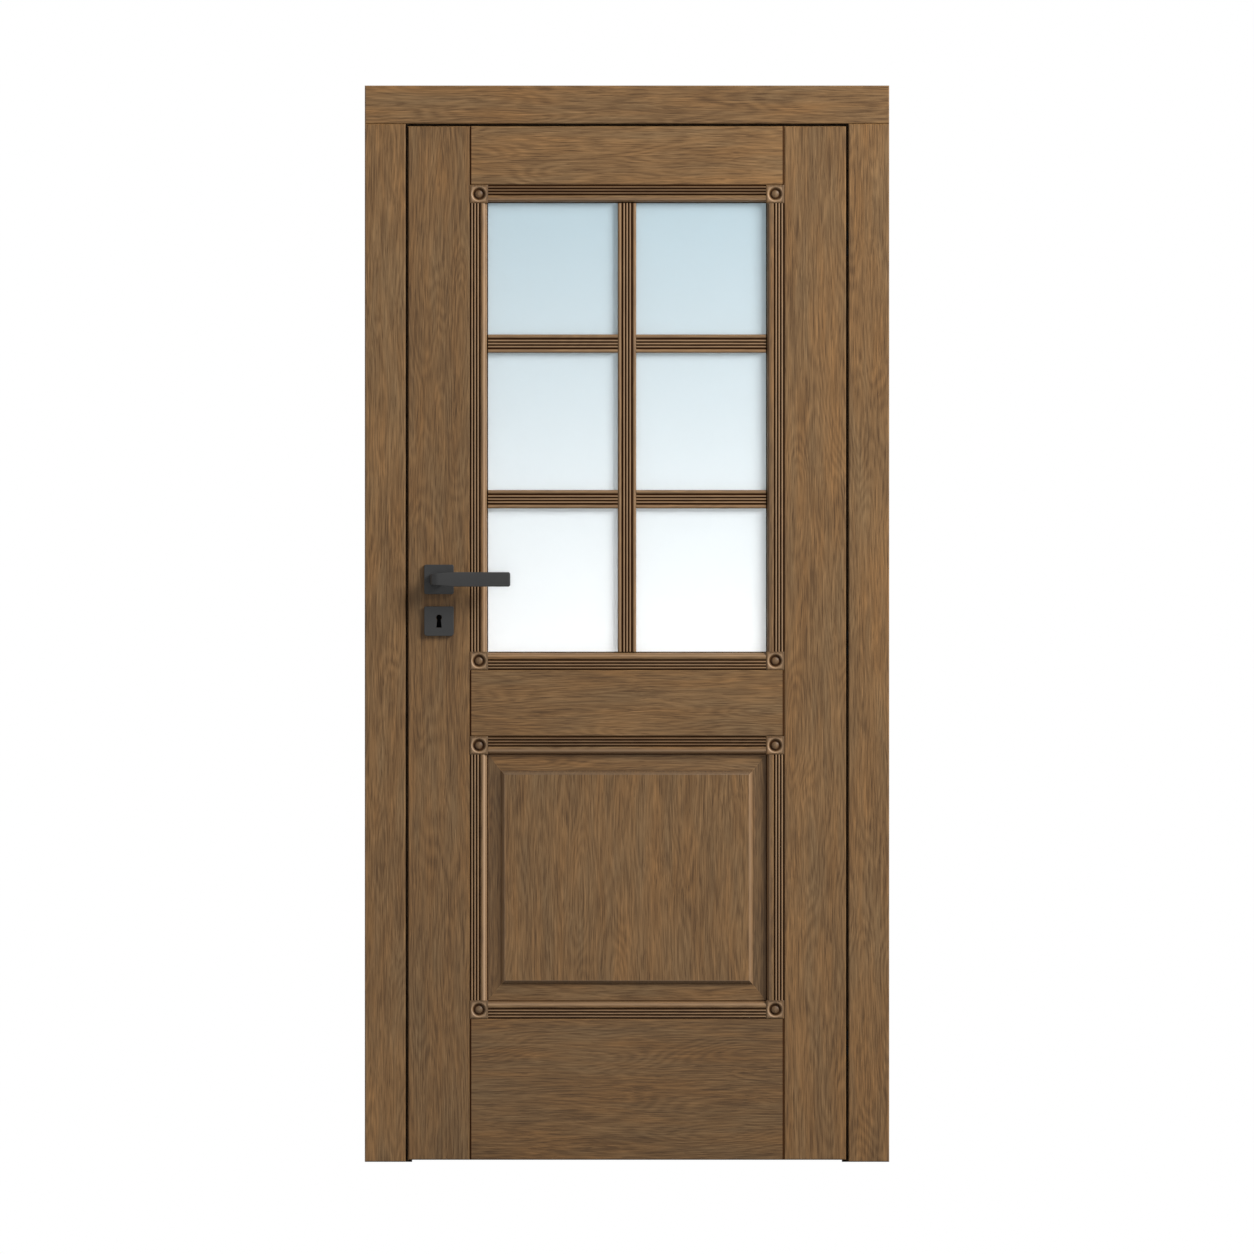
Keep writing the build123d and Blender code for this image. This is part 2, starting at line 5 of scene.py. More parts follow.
import bmesh
import bpy
import numpy as np
from bpy.props import FloatProperty, FloatVectorProperty, PointerProperty
from bpy.types import NodeSocket, Operator, Panel, PropertyGroup
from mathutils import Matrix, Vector


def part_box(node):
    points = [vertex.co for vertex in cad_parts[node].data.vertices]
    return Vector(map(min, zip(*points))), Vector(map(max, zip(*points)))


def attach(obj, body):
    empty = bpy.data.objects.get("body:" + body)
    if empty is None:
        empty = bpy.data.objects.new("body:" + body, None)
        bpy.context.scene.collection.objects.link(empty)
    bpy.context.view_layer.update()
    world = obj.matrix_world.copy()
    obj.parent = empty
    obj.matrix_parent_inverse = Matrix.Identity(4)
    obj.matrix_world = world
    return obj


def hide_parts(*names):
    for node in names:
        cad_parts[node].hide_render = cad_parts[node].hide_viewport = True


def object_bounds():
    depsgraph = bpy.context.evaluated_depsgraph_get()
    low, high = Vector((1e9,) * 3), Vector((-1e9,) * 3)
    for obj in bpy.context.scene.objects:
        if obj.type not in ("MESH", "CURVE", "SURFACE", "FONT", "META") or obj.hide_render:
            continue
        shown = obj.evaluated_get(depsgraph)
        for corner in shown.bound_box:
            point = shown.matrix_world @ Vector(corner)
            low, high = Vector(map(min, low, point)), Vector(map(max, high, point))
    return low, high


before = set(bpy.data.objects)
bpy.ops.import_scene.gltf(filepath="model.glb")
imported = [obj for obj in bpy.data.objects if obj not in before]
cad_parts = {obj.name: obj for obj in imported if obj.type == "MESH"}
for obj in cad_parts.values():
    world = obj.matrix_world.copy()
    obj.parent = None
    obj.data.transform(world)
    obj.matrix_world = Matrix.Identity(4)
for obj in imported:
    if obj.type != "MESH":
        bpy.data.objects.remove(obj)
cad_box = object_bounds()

bl_info = {
    "name": "Glazed door",
    "version": (1, 0, 0),
    "blender": (4, 5, 0),
    "location": "View3D > Sidebar > Door",
    "description": "Mouldings, rosettes, bars, handles and finishes of a framed glazed door",
    "category": "Object",
}

MM = 0.001
X, Y, Z = np.eye(3)
SIDES = (("front", -1.0), ("rear", 1.0))
OPENINGS = ("glazing", "panel")


# Colours and nodes


def linear(code):
    """The linear colour of an sRGB hex value."""
    channels = [int(code[at : at + 2], 16) / 255 for at in (1, 3, 5)]
    return tuple(c / 12.92 if c <= 0.04045 else ((c + 0.055) / 1.055) ** 2.4 for c in channels)


def join(node, inputs):
    """Links or sets a node's inputs, given by name or number or in their order."""
    for key, value in inputs.items() if isinstance(inputs, dict) else enumerate(inputs):
        if isinstance(value, NodeSocket):
            node.id_data.links.new(value, node.inputs[key])
        else:
            node.inputs[key].default_value = value


def add(tree, kind, inputs=(), outlet=0, **settings):
    """Adds one node with its settings and links, and gives one of its outputs."""
    made = tree.nodes.new("ShaderNode" + kind)
    for name, value in settings.items():
        setattr(made, name, value)
    join(made, inputs)
    return made.outputs[outlet] if len(made.outputs) else made


def blank(name):
    """A new material, a way to add nodes to it, its surface shader and Object coordinates."""
    material = bpy.data.materials.new(name)
    material.use_nodes = True
    node = partial(add, material.node_tree)
    shader = material.node_tree.nodes["Principled BSDF"]
    return material, node, shader, node("TexCoord", outlet="Object")


def span(value, low=0.0, high=1.0, start=0.0, end=1.0):
    """The inputs that take a value between low and high to one between start and end."""
    return {"Value": value, "From Min": low, "From Max": high, "To Min": start, "To Max": end}


def pattern(node, source, sizes, detail=2.0, roughness=0.5, seat=0.0, outlet=0):
    """Noise whose marks have these sizes in mm along X, Y and Z. seat shifts it as a whole."""
    scale = [1 / (size * MM) for size in sizes]
    shift = (seat, seat * 1.7, seat * 0.6)
    seated = node("Mapping", {"Vector": source, "Location": shift, "Scale": scale})
    inputs = {"Vector": seated, "Scale": 1.0, "Detail": detail, "Roughness": roughness}
    return node("TexNoise", inputs, outlet)


def amount(label, description, default, unit="LENGTH"):
    """A property in metres, or in the unit that is given."""
    return FloatProperty(
        name=label, description=description, default=default, min=0, unit=unit, precision=5
    )


def tint(label, description, code):
    """A colour property from its sRGB hex value."""
    kind = {"subtype": "COLOR", "size": 3, "min": 0, "max": 1, "default": linear(code)}
    return FloatVectorProperty(name=label, description=description, **kind)


# Sizes and colours that a user would change


class MouldingLooks(PropertyGroup):
    """The reeded moulding round each opening."""

    width: amount("Width", "From the opening's edge to the moulding's inner edge", 0.036)
    setback: amount("Setback", "From the leaf's face down to the crests", 0.0003)
    groove: amount("Groove depth", "From the leaf's face down to the groove floors", 0.0036)
    edge: amount("Edge groove", "Width of the groove beside the board", 0.0025)
    reed_radius: amount("Reed radius", "Radius of each half round reed", 0.00195)
    reed_pitch: amount("Reed pitch", "From one reed's middle to the next", 0.0059)
    roll_start: amount("Roll start", "From the board's edge to the foot of the roll", 0.0204)
    roll_crest: amount("Roll crest", "From the board's edge to the crest of the roll", 0.0242)
    roll_fall: amount("Roll fall", "Depth in which the roll curves down to the opening", 0.0115)
    quirk: amount("Quirk", "Width of the dark step between the roll and the opening", 0.0018)


class RosetteLooks(PropertyGroup):
    """The turned corner blocks."""

    bowl_radius: amount("Bowl radius", "Radius of the turned bowl at the block's face", 0.0146)
    bowl_depth: amount("Bowl depth", "Depth of the bowl below the block's face", 0.0048)
    button_radius: amount("Button radius", "Radius of the domed button", 0.0076)
    button_rise: amount("Button rise", "Height of the button's dome over its rim", 0.0022)
    ring_radius: amount("Ring radius", "Radius of the bowl's floor round the button", 0.0102)
    button_sink: amount("Button sink", "Depth of the button's top below the block's face", 0.0009)
    ease_width: amount("Ease width", "Width of the eased edge of the block's face", 0.0026)
    ease_depth: amount("Ease depth", "Depth of the eased edge of the block's face", 0.0014)


class PanelLooks(PropertyGroup):
    """The raised panel."""

    side_border: amount("Side border", "Width of the border beside the field", 0.0235)
    end_border: amount("End border", "Width of the border above and below the field", 0.0295)
    border_rise: amount("Border rise", "Rise of the border from the moulding to its foot", 0.003)
    bevel: amount("Bevel width", "Width of the bevel round the field", 0.008)
    arris: amount("Arris", "Width of the rounded arris at the top of the bevel", 0.0016)
    slab_setback: amount("Slab setback", "From the leaf's face down to the slab's face", 0.014)
    field_setback: amount("Field setback", "From the leaf's face down to the field", 0.004)


class BarLooks(PropertyGroup):
    """The glazing bars."""

    width: amount("Width", "Width of a bar", 0.036)
    setback: amount("Setback", "From the leaf's face down to the bars' crests", 0.007)
    groove: amount("Groove depth", "From the crests down to the groove floors", 0.003)
    bead_width: amount("Bead width", "Width of the bead at each side", 0.0072)
    bead_rise: amount("Bead rise", "Height of the rounded top of a bead", 0.0022)
    reed_radius: amount("Reed radius", "Radius of each half round reed", 0.002)
    reed_pitch: amount("Reed pitch", "From one reed's middle to the next", 0.006)


class HandleLooks(PropertyGroup):
    """The lever handles and their plates: rose and escutcheon."""

    heel: amount("Heel", "From the spindle's middle to the lever's short end", 0.017)
    neck: amount("Neck width", "Width of the neck over the rose, seen from above", 0.024)
    heel_height: amount("Heel height", "Height of the lever at its short end", 0.0205)
    shoulder: amount("Shoulder", "From the spindle's middle to where the arm is full height", 0.028)
    tip_height: amount("Arm height", "Height of the arm from its shoulder to its tip", 0.0285)
    thickness: amount("Thickness", "Thickness of the arm where it leaves the neck", 0.013)
    tip_thickness: amount("Tip thickness", "Thickness of the arm at its tip", 0.010)
    turn: amount("Turn radius", "Radius in which the neck turns into the arm", 0.016)
    inner_turn: amount("Inner turn radius", "Radius on the inside of that turn", 0.008)
    edge: amount("Edge radius", "Radius of the long edges", 0.0018)
    tip_corner: amount("Tip corner radius", "Radius of the tip's corners from the front", 0.004)
    plate_corner: amount("Plate corner radius", "Radius of the plates' corners", 0.003)
    plate_edge: amount("Plate edge radius", "Radius of the plates' front edges", 0.0009)
    spindle_hole: amount("Spindle hole", "Radius of the hole in the rose", 0.0065)
    key_head: amount("Keyhole head", "Radius of the keyhole's round head", 0.0058)
    key_waist: amount("Keyhole waist", "Half width of the keyhole under its head", 0.0038)
    key_height: amount("Keyhole height", "Height of the keyhole", 0.0255)


class FinishLooks(PropertyGroup):
    """Colours of the finishes."""

    dark: tint("Dark oak", "The stained oak in its darkest marks", "#4D3418")
    warm: tint("Warm oak", "The lightest fibres where they lean to orange", "#936C41")
    cool: tint("Cool oak", "The lightest fibres where they lean to grey", "#886B48")
    # The glaze also darkens grooves and recesses as painted shade.
    glaze_and_shade: tint("Glaze", "The dark stain that settles in grooves", "#331B08")
    # The rubbed oak also stands for highlights on crests, rolls, bevels and rims: painted
    # highlight.
    rubbed_and_highlight: tint("Rubbed oak", "The paler oak on crests where stain is rubbed off", "#A98A6B")
    black: tint("Black metal", "The powder coat on handles and roses", "#2C2C2C")
    # The two glass colours paint a reflection of a sky: blue at the top, near white at the bottom.
    glass_top_sky_reflection: tint("Glass, top", "The satin glass at its top", "#C4D8E0")
    glass_bottom_sky_reflection: tint("Glass, bottom", "The satin glass at its bottom", "#FBFCFC")


class ScrewLooks(PropertyGroup):
    """The raised countersunk screws of the lock, strike plate and hinges."""

    radius: amount("Head radius", "Radius of a screw's head", 0.0039)
    rise: amount("Head rise", "Height of the head's dome over its plate", 0.0009)
    recess: amount("Recess reach", "Reach of the cross recess from the head's middle", 0.002)
    from_end: amount("From the end", "From a steel plate's end to its screw", 0.009)
    hinge_spread: amount("Hinge spread", "From a hinge's middle to its screws", 0.040)
    hinge_height: amount("Hinge height", "Height of a hinge cup", 0.110)


class StageLooks(PropertyGroup):
    """Floor, light and camera."""

    floor: tint("Floor", "The pale floor as it is seen", "#E9E9E7")
    floor_reach: amount("Floor reach", "From the door to where the floor starts to pale", 1.1)
    backdrop_reach: amount("Backdrop reach", "From the door to where the floor is white", 2.6)
    bounce: tint("Floor bounce", "The floor as other surfaces see it", "#8B8B8A")
    ambient: tint("Ambient", "The light that the surroundings give", "#959595")
    view_height: amount("View height", "Height of the camera over the floor", 1.0505)
    view_width: amount("View width", "Width that the camera takes in", 2.463)
    key_distance: amount("Key distance", "From the door's middle to the two large lights", 6.5)
    key_power: amount("Key power", "Power of the key light in front", 600.0, "POWER")
    back_power: amount("Back power", "Power of the like light behind", 330.0, "POWER")
    glass_power: amount("Glass power", "Power of the low light behind the glass", 11.5, "POWER")


class DoorLooks(PropertyGroup):
    """All settings of the door's looks."""

    moulding: PointerProperty(type=MouldingLooks)
    rosette: PointerProperty(type=RosetteLooks)
    panel: PointerProperty(type=PanelLooks)
    bar: PointerProperty(type=BarLooks)
    handle: PointerProperty(type=HandleLooks)
    screw: PointerProperty(type=ScrewLooks)
    finish: PointerProperty(type=FinishLooks)
    stage: PointerProperty(type=StageLooks)


# Surfaces


def prism(profile, start, along, across, outward):
    """A closed profile carried along a straight run.

    Each point is start + u * along + a * across + b * outward, with (a, b) from the profile
    and u either 0 or 1. The two ends are closed with one face each.
    """
    ring = start + profile @ np.array((across, outward))
    count = len(profile)
    index = np.arange(count)
    following = np.roll(index, -1)
    quads = np.stack((index, following, following + count, index + count), axis=1)
    ends = [index[::-1].tolist(), (index + count).tolist()]
    return np.concatenate((ring, ring + along)), quads.tolist() + ends


def stacked(levels):
    """Rings of points from (outline, height) pairs, the height one number or one a point."""
    rings = [np.column_stack((ring, np.broadcast_to(height, len(ring)))) for ring, height in levels]
    return np.stack(rings)


def placed(points, origin, right, up, out):
    """Points given along three directions from an origin, as points of the door's frame."""
    return np.array(origin) + points @ np.array((right, up, out))


def ringed(rings, looped=False):
    """Rings of equal length joined in order.

    The last ring joins back to the first where looped. Otherwise each end is closed by a fan
    to its middle point.
    """
    levels, count = rings.shape[:2]
    index = np.arange(levels * count).reshape(levels, count)
    beside = np.roll(index, -1, axis=1)
    below, across = np.roll(index, -1, axis=0), np.roll(beside, -1, axis=0)
    quads = np.stack((index, beside, across, below), axis=-1)
    points = rings.reshape(-1, 3)
    if looped:
        return points, quads.reshape(-1, 4).tolist()
    first, last = index.size, index.size + 1
    fans = [[first, b, a] for a, b in zip(index[0], beside[0])]
    fans += [[last, a, b] for a, b in zip(index[-1], beside[-1])]
    points = np.concatenate((points, (rings[0].mean(axis=0), rings[-1].mean(axis=0))))
    return points, quads[:-1].reshape(-1, 4).tolist() + fans


def piece(
    name, parts, finishes, nodes, body="leaf", picks=None, wear_and_painted_light=(), sharp=38
):
    """Makes one piece from (points, faces) parts and puts it on its body in place of nodes.

    picks gives each part's finish, wear the stain held and the stain rubbed off at each
    point, which also paint shade and highlights. An edge sharper than the angle stays sharp
    while the rest is shaded smooth.
    """
    faces, start = [], 0
    for points, polygons in parts:
        faces += [[start + corner for corner in polygon] for polygon in polygons]
        start += len(points)
    mesh = bpy.data.meshes.new(name)
    mesh.from_pydata(np.concatenate([points for points, _ in parts]).tolist(), [], faces)
    for named in finishes:
        mesh.materials.append(finish(named))
    if picks is not None:
        counts = [len(polygons) for _, polygons in parts]
        mesh.polygons.foreach_set("material_index", np.repeat(picks, counts))
    for key, values in zip(("held_and_shade", "rubbed_and_highlight"), wear_and_painted_light):
        mesh.attributes.new(key, "FLOAT", "POINT").data.foreach_set("value", values)
    turned = bmesh.new()
    turned.from_mesh(mesh)
    bmesh.ops.recalc_face_normals(turned, faces=turned.faces)
    turned.to_mesh(mesh)
    turned.free()
    mesh.polygons.foreach_set("use_smooth", [True] * len(mesh.polygons))
    mesh.set_sharp_from_angle(angle=math.radians(sharp))
    made = shown(name, mesh)
    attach(made, body)
    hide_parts(*nodes)


def shown(name, data):
    """A new object that shows its data in the scene."""
    made = bpy.data.objects.new(name, data)
    bpy.context.scene.collection.objects.link(made)
    return made


def arc(middle, radius, first, last, steps):
    """Points on a circle between two angles in degrees."""
    angle = np.radians(np.linspace(first, last, steps))
    return np.array(middle) + radius * np.column_stack((np.cos(angle), np.sin(angle)))


def circle(count):
    """Directions once round, evenly spread."""
    return arc((0, 0), 1.0, 0, 360, count + 1)[:-1]


def reed(middle, radius, crest, floor):
    """A reed: a half circle at the crest whose sides go straight down to the groove floor."""
    top = arc((middle, crest - radius), radius, 180, 0, 13)
    return np.concatenate(([[middle - radius, floor]], top, [[middle + radius, floor]]))


def reeded_wear_and_painted_light(profile, crest, floor, on_reeds):
    """How much stain a profile's points hold in the grooves, and how much is rubbed off crests.

    Both follow a point's share of the depth from the crests to the groove floors: the held
    stain darkens the grooves also as painted shade, the rubbed crests are paler also as painted
    highlights. Off the reeds only the last third of that depth holds stain.
    """
    depth = (crest - profile[:, 1]) / (crest - floor)
    held_and_shade = np.clip(depth * 2.4 - 0.35, 0, 1)
    rubbed_and_highlight = np.clip(1 - depth * 5, 0, 1) * 0.55
    foot = np.clip(depth * 3 - 2, 0, 1) * (depth < 1.02)
    return np.where(on_reeds, held_and_shade, foot), np.where(on_reeds, rubbed_and_highlight, 0.0)


def seated(node, sign):
    """A node's box, the Y of the leaf's face on its side and its reach behind that face."""
    low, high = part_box(node)
    front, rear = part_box("lock_rail")
    face, back = (front.y, high.y) if sign < 0 else (rear.y, low.y)
    return low, high, face, abs(face - back)


# Finishes


def oak_grain(node, place, along, offset):
    """The figure of oak with its fibres along X or Z, as a brightness and a leaning to grey.

    Each mark is noise on Object coordinates, stretched along the fibres, and its size is
    that of the real one. Layers: (across in mm, along in mm, detail, strength). The growth
    lines are a sine of one broad noise, so they follow its contours as in sawn boards.
    """

    def marks(source, across, run, detail, seat, outlet=0):
        sizes = (run, across, across) if along == "X" else (across, across, run)
        return pattern(node, source, sizes, detail, 0.6, offset + seat, outlet)

    sway = marks(place, 120, 380, 2.0, 0.0, "Color")
    push = (0.0, 0.020, 0.020) if along == "X" else (0.020, 0.020, 0.0)
    bent = node("VectorMath", (sway, push, place), operation="MULTIPLY_ADD")
    layers = ((80, 380, 1.0, 0.55), (13, 210, 2.0, 0.35), (3.6, 120, 2.0, 0.8), (1.8, 64, 2.0, 1.5))
    total = 1 - sum(strength for _, _, _, strength in layers) / 2
    for number, (across, run, detail, strength) in enumerate(layers):
        mark = marks(bent, across, run, detail, 3.1 * number)
        total = node("Math", (mark, strength, total), operation="MULTIPLY_ADD")
    # Growth lines, about twenty across the broad noise's range
    growth = node("Math", (marks(bent, 62, 430, 1.0, 29.5), 120.0), operation="MULTIPLY")
    growth = node("Math", (growth,), operation="SINE")
    total = node("Math", (growth, 0.11, total), operation="MULTIPLY_ADD")
    # Open pores, drawn 1.5 mm wide where real ones are 0.3 mm, so that they show.
    pores = node("MapRange", span(marks(bent, 1.5, 34, 1.0, 17.3), 0.58, 0.70, 1.0, 0.66))
    # Rays catch the light as pale flecks, drawn 1.9 mm wide where real ones are 0.5 mm.
    rays = node("MapRange", span(marks(bent, 1.9, 46, 1.0, 11.9), 0.59, 0.71, 0.0, 0.30))
    brightness = node("Math", (total, pores, rays), operation="MULTIPLY_ADD")
    leaning = span(marks(bent, 30, 260, 2.0, 23.9), 0.32, 0.68)
    return brightness, node("MapRange", leaning)


def stained_oak(name, along, offset, tone, looks, border, seams):
    """Open grained oak veneer under brown stain and satin lacquer.

    To the eye: fine streaks along the fibres, growth lines, soft cloudy patches, a drift
    between orange and grey, darker stain held in grooves and joints, which in the grooves also
    paints their shade, paler rubbed crests, which also paint highlights, and a low even sheen.
    border is (middle, half, cover, margins, bevel) of a raised panel: outside its field the
    ends' grain runs crosswise, and the side borders and the end bevels are darkened, which is
    painted shade. seams is (middle, half) along X of the leaf's joints, which hold stain.
    """
    _, node, shader, place = blank(name)
    brightness, leaning = oak_grain(node, place, along, offset)
    if border is not None:
        *box, margins, bevel = border
        ends, sides = border_masks(node, place, *box, margins)
        wide_ends, _ = border_masks(node, place, *box, [margin + bevel for margin in margins])
        crosswise, cross_leaning = oak_grain(node, place, "X", offset + 41.0)
        brightness = node("Mix", {0: ends, 2: brightness, 3: crosswise})
        leaning = node("Mix", {0: ends, 2: leaning, 3: cross_leaning})
        # The side borders are darkened and the end bevels more so: painted shade.
        stain = node("Math", (sides, -0.26, 1.0), operation="MULTIPLY_ADD")
        bevels = node("Math", (wide_ends, ends), operation="SUBTRACT")
        stain = node("Math", (bevels, -0.45, stain), operation="MULTIPLY_ADD")
    shades = (looks.dark, looks.warm, looks.cool)
    dark, warm, cool = ([channel * tone for channel in shade] + [1] for shade in shades)
    light = node("Mix", {0: leaning, 6: warm, 7: cool}, 2, data_type="RGBA")
    share = node("MapRange", span(brightness, 0.5, 1.5))
    wood = node("Mix", {0: share, 6: dark, 7: light}, 2, data_type="RGBA")
    # Paler where stain is rubbed off, which also paints highlights.
    rubbed_and_highlight = node("Attribute", outlet="Fac", attribute_name="rubbed_and_highlight")
    wood = node("Mix", {0: rubbed_and_highlight, 6: wood, 7: (*looks.rubbed_and_highlight, 1)}, 2, data_type="RGBA")
    if border is not None:
        wood = node("VectorMath", {0: wood, "Scale": stain}, operation="SCALE")
    # Darker where stain is held: in grooves and recesses partly painted shade, on the leaf's boards
    # its dark joints.
    if seams is None:
        held_and_shade = node("Attribute", outlet="Fac", attribute_name="held_and_shade")
    else:
        held_and_shade = seam_mask(node, place, *seams)
    colour = node("Mix", {0: held_and_shade, 6: wood, 7: (*looks.glaze_and_shade, 1)}, 2, data_type="RGBA")
    relief = {"Strength": 0.35, "Distance": 0.4 * MM, "Height": brightness}
    matt = node("MapRange", span(brightness, 0.6, 1.4, 0.54, 0.46))
    sheen = node("MapRange", span(held_and_shade, start=0.34, end=0.06))
    join(shader, {"Base Color": colour, "Roughness": matt, "Specular IOR Level": sheen})
    join(shader, {"Normal": node("Bump", relief)})


def distance_from(node, place, axis, middle):
    """Each point's distance from a plane across an axis."""
    along = node("SeparateXYZ", (place,), axis)
    away = node("Math", (along, middle), operation="SUBTRACT")
    return node("Math", (away,), operation="ABSOLUTE")


def seam_mask(node, place, middle, half):
    """One on the joint lines at each side of the middle, falling to zero 1.9 mm away."""
    away = distance_from(node, place, 0, middle)
    off = node("Math", (away, half), operation="SUBTRACT")
    off = node("Math", (off,), operation="ABSOLUTE")
    return node("MapRange", span(off, 0.9 * MM, 1.9 * MM, 1.0, 0.0))


def border_masks(node, place, middle, half, cover, margins):
    """Masks of a panel's end borders and side borders, which meet at mitres.

    Along each axis a point lies a share of the border's width in from the moulding: the
    smaller share is the border that it belongs to, and one or more is the field.
    """
    shares = []
    for axis, at, reach, margin in zip((0, 2), middle, half, margins):
        away = distance_from(node, place, axis, at)
        inputs = span(away, reach - cover - margin, reach - cover, 1.0, 0.0)
        shares.append(node("MapRange", inputs, clamp=False))
    masks = []
    for own, other in (shares[::-1], shares):
        limit = node("Math", (other, 1.0), operation="MINIMUM")
        masks.append(node("Math", (own, limit), operation="LESS_THAN"))
    return masks


def satin_glass(looks, low, high):
    """Acid etched float glass, 4 mm: a soft milky sheet that lets light through.

    To the eye: no image behind it, a cool tint that pales from top to bottom, which is a
    painted reflection of a sky, soft shadows of the bars on its face and a faint broad sheen.
    """
    _, node, shader, place = blank("satin_etched_glass")
    height = node("SeparateXYZ", (place,), 2)
    share = node("MapRange", span(height, low, high))
    # The tint from top to bottom is a painted reflection of a sky.
    sky_reflection_tints = {6: (*looks.glass_bottom_sky_reflection, 1), 7: (*looks.glass_top_sky_reflection, 1)}
    # The etched tooth is about 0.05 mm; it is drawn at 1.2 mm so that it breaks the sheen.
    tooth = pattern(node, place, (1.2, 1.2, 1.2))
    tone = node("Mix", {0: share, **sky_reflection_tints}, 2, data_type="RGBA")
    relief = node("Bump", {"Strength": 0.08, "Distance": 0.2 * MM, "Height": tooth})
    join(shader, {"Base Color": tone, "Normal": relief, "Roughness": 0.42})
    join(shader, {"IOR": 1.52, "Transmission Weight": 0.45})


def coated(name, colour, sizes, detail, tones, used=(0.3, 0.7), rough=None, relief=None, **inputs):
    """A fitting's finish: marks vary its tone and roughness, and a relief breaks its sheen.

    The marks have these sizes in mm along X, Y and Z and are read between the used values.
    relief is (size in mm, strength, depth in mm), with the marks themselves where size is None.
    """
    _, node, shader, place = blank(name)
    marks = pattern(node, place, sizes, detail)
    tone = node("MapRange", span(marks, *used, *tones))
    inputs["Base Color"] = node("VectorMath", {0: tuple(colour), "Scale": tone}, operation="SCALE")
    if rough:
        inputs["Roughness"] = node("MapRange", span(marks, *used, *rough))
    if relief:
        size, strength, depth = relief
        height = pattern(node, place, (size, size, size)) if size else marks
        bump = {"Strength": strength, "Distance": depth * MM, "Height": height}
        inputs["Normal"] = node("Bump", bump)
    join(shader, inputs)


def finish(name):
    """A finish that the board or fittings operator has made."""
    material = bpy.data.materials.get(name)
    if material is None:
        raise RuntimeError(f"finish {name} isn't made yet")
    return material


def dress(name, *nodes):
    """Gives CAD nodes a finish, on each node's own object."""
    for node in nodes:
        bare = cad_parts[node]
        if not bare.material_slots:
            bare.data.materials.append(None)
        for place in bare.material_slots:
            place.link = "OBJECT"
            place.material = finish(name)


# Each oak part's grain direction, place in the figure and tone against the others
OAK = {
    "front_latch_casing": ("Z", 1.3, 0.985),
    "front_hinge_casing": ("Z", 5.9, 0.96),
    "front_head_casing": ("X", 9.2, 0.965),
    "rear_latch_casing": ("Z", 12.4, 1.0),
    "rear_hinge_casing": ("Z", 15.8, 1.0),
    "rear_head_casing": ("X", 19.1, 1.0),
    "latch_jamb": ("Z", 22.7, 0.95),
    "hinge_jamb": ("Z", 26.2, 0.95),
    "head_jamb": ("X", 29.6, 0.95),
    "latch_stile": ("Z", 33.3, 0.885),
    "hinge_stile": ("Z", 37.1, 0.95),
    # The rails are toned darker towards the bottom: painted shade.
    "top_rail": ("X", 40.8, 1.0),
    "lock_rail": ("X", 44.4, 0.89),
    "bottom_rail": ("X", 48.9, 0.765),
    "moulding_upright": ("Z", 52.5, 0.88),
    "moulding_crosswise": ("X", 56.3, 0.88),
    "rosette": ("Z", 64.8, 0.62),
    "panel": ("Z", 60.1, 0.905),
}


class DOOR_OT_board_finish(Operator):
    """Makes the oak finishes and puts them on the boards"""

    bl_idname = "door.board_finish"
    bl_label = "Board finish"

    def execute(self, context):
        looks = context.scene.door_looks
        low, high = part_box("raised_panel")
        middle = ((low.x + high.x) / 2, (low.z + high.z) / 2)
        half = ((high.x - low.x) / 2, (high.z - low.z) / 2)
        margins = (looks.panel.side_border, looks.panel.end_border)
        panel_border = (middle, half, looks.moulding.width, margins, looks.panel.bevel)
        for part, grain in OAK.items():
            border = panel_border if part == "panel" else None
            seams = (middle[0], half[0]) if part.endswith(("stile", "rail")) else None
            stained_oak(f"oak_{part}", *grain, looks.finish, border, seams)
            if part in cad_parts:
                dress(f"oak_{part}", part)
        return {"FINISHED"}


class DOOR_OT_fittings_finish(Operator):
    """Makes the finishes of glass, seal and metal and puts them on the fittings"""

    bl_idname = "door.fittings_finish"
    bl_label = "Fittings finish"

    def execute(self, context):
        looks = context.scene.door_looks.finish
        low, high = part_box("glass_pane")
        satin_glass(looks, low.z, high.z)
        dress("satin_etched_glass", "glass_pane")
        # Matt black polyester powder coat on zinc castings: an even charcoal whose orange peel,
        # 0.3 mm from crest to crest and drawn at 0.9 mm, softens every highlight.
        coat = {"rough": (0.44, 0.52), "relief": (0.9, 0.12, 0.2), "Specular IOR Level": 0.35}
        coated("black_powder_coat", looks.black, (24, 24, 24), 2.0, (0.94, 1.06), **coat)
        # Brushed steel, nickel plate, black oxide and a thin black coat: greys whose fine marks
        # spread the reflections. Brush marks are 0.1 mm wide and drawn at 0.5 mm.
        brushed, mottled = (0.5, 0.5, 100 / 3), (100 / 9, 100 / 9, 100 / 9)
        hinges = ("frame_hinge_cups", "leaf_hinge_cups", "hinge_arms")
        for name, code, middle, sizes, *nodes in (
            ("brushed_steel", "#A5A4A1", 0.36, brushed, "strike_plate", "lock_forend"),
            ("nickel_plated_bolt", "#8C8A86", 0.30, brushed, "lock_bolts"),
            ("black_oxide_steel", "#121213", 0.60, mottled, "lock_case", "spindle"),
            ("black_coated_hinge", "#2E2E2E", 0.60, mottled, *hinges),
        ):
            metal = {"rough": (middle - 0.06, middle + 0.06), "relief": (None, 0.15, 0.1)}
            coated(name, linear(code), sizes, 3.0, (0.9, 1.08), **metal, Metallic=1.0)
            dress(name, *nodes)
        # Extruded thermoplastic rubber in dark brown: a dull dark bead with faint draw lines.
        plain = {"used": (0.0, 1.0), "Roughness": 0.7}
        coated("extruded_seal_rubber", linear("#2A211A"), (2, 2, 2), 1.0, (0.85, 1.15), **plain)
        dress("extruded_seal_rubber", "frame_seal")
        return {"FINISHED"}


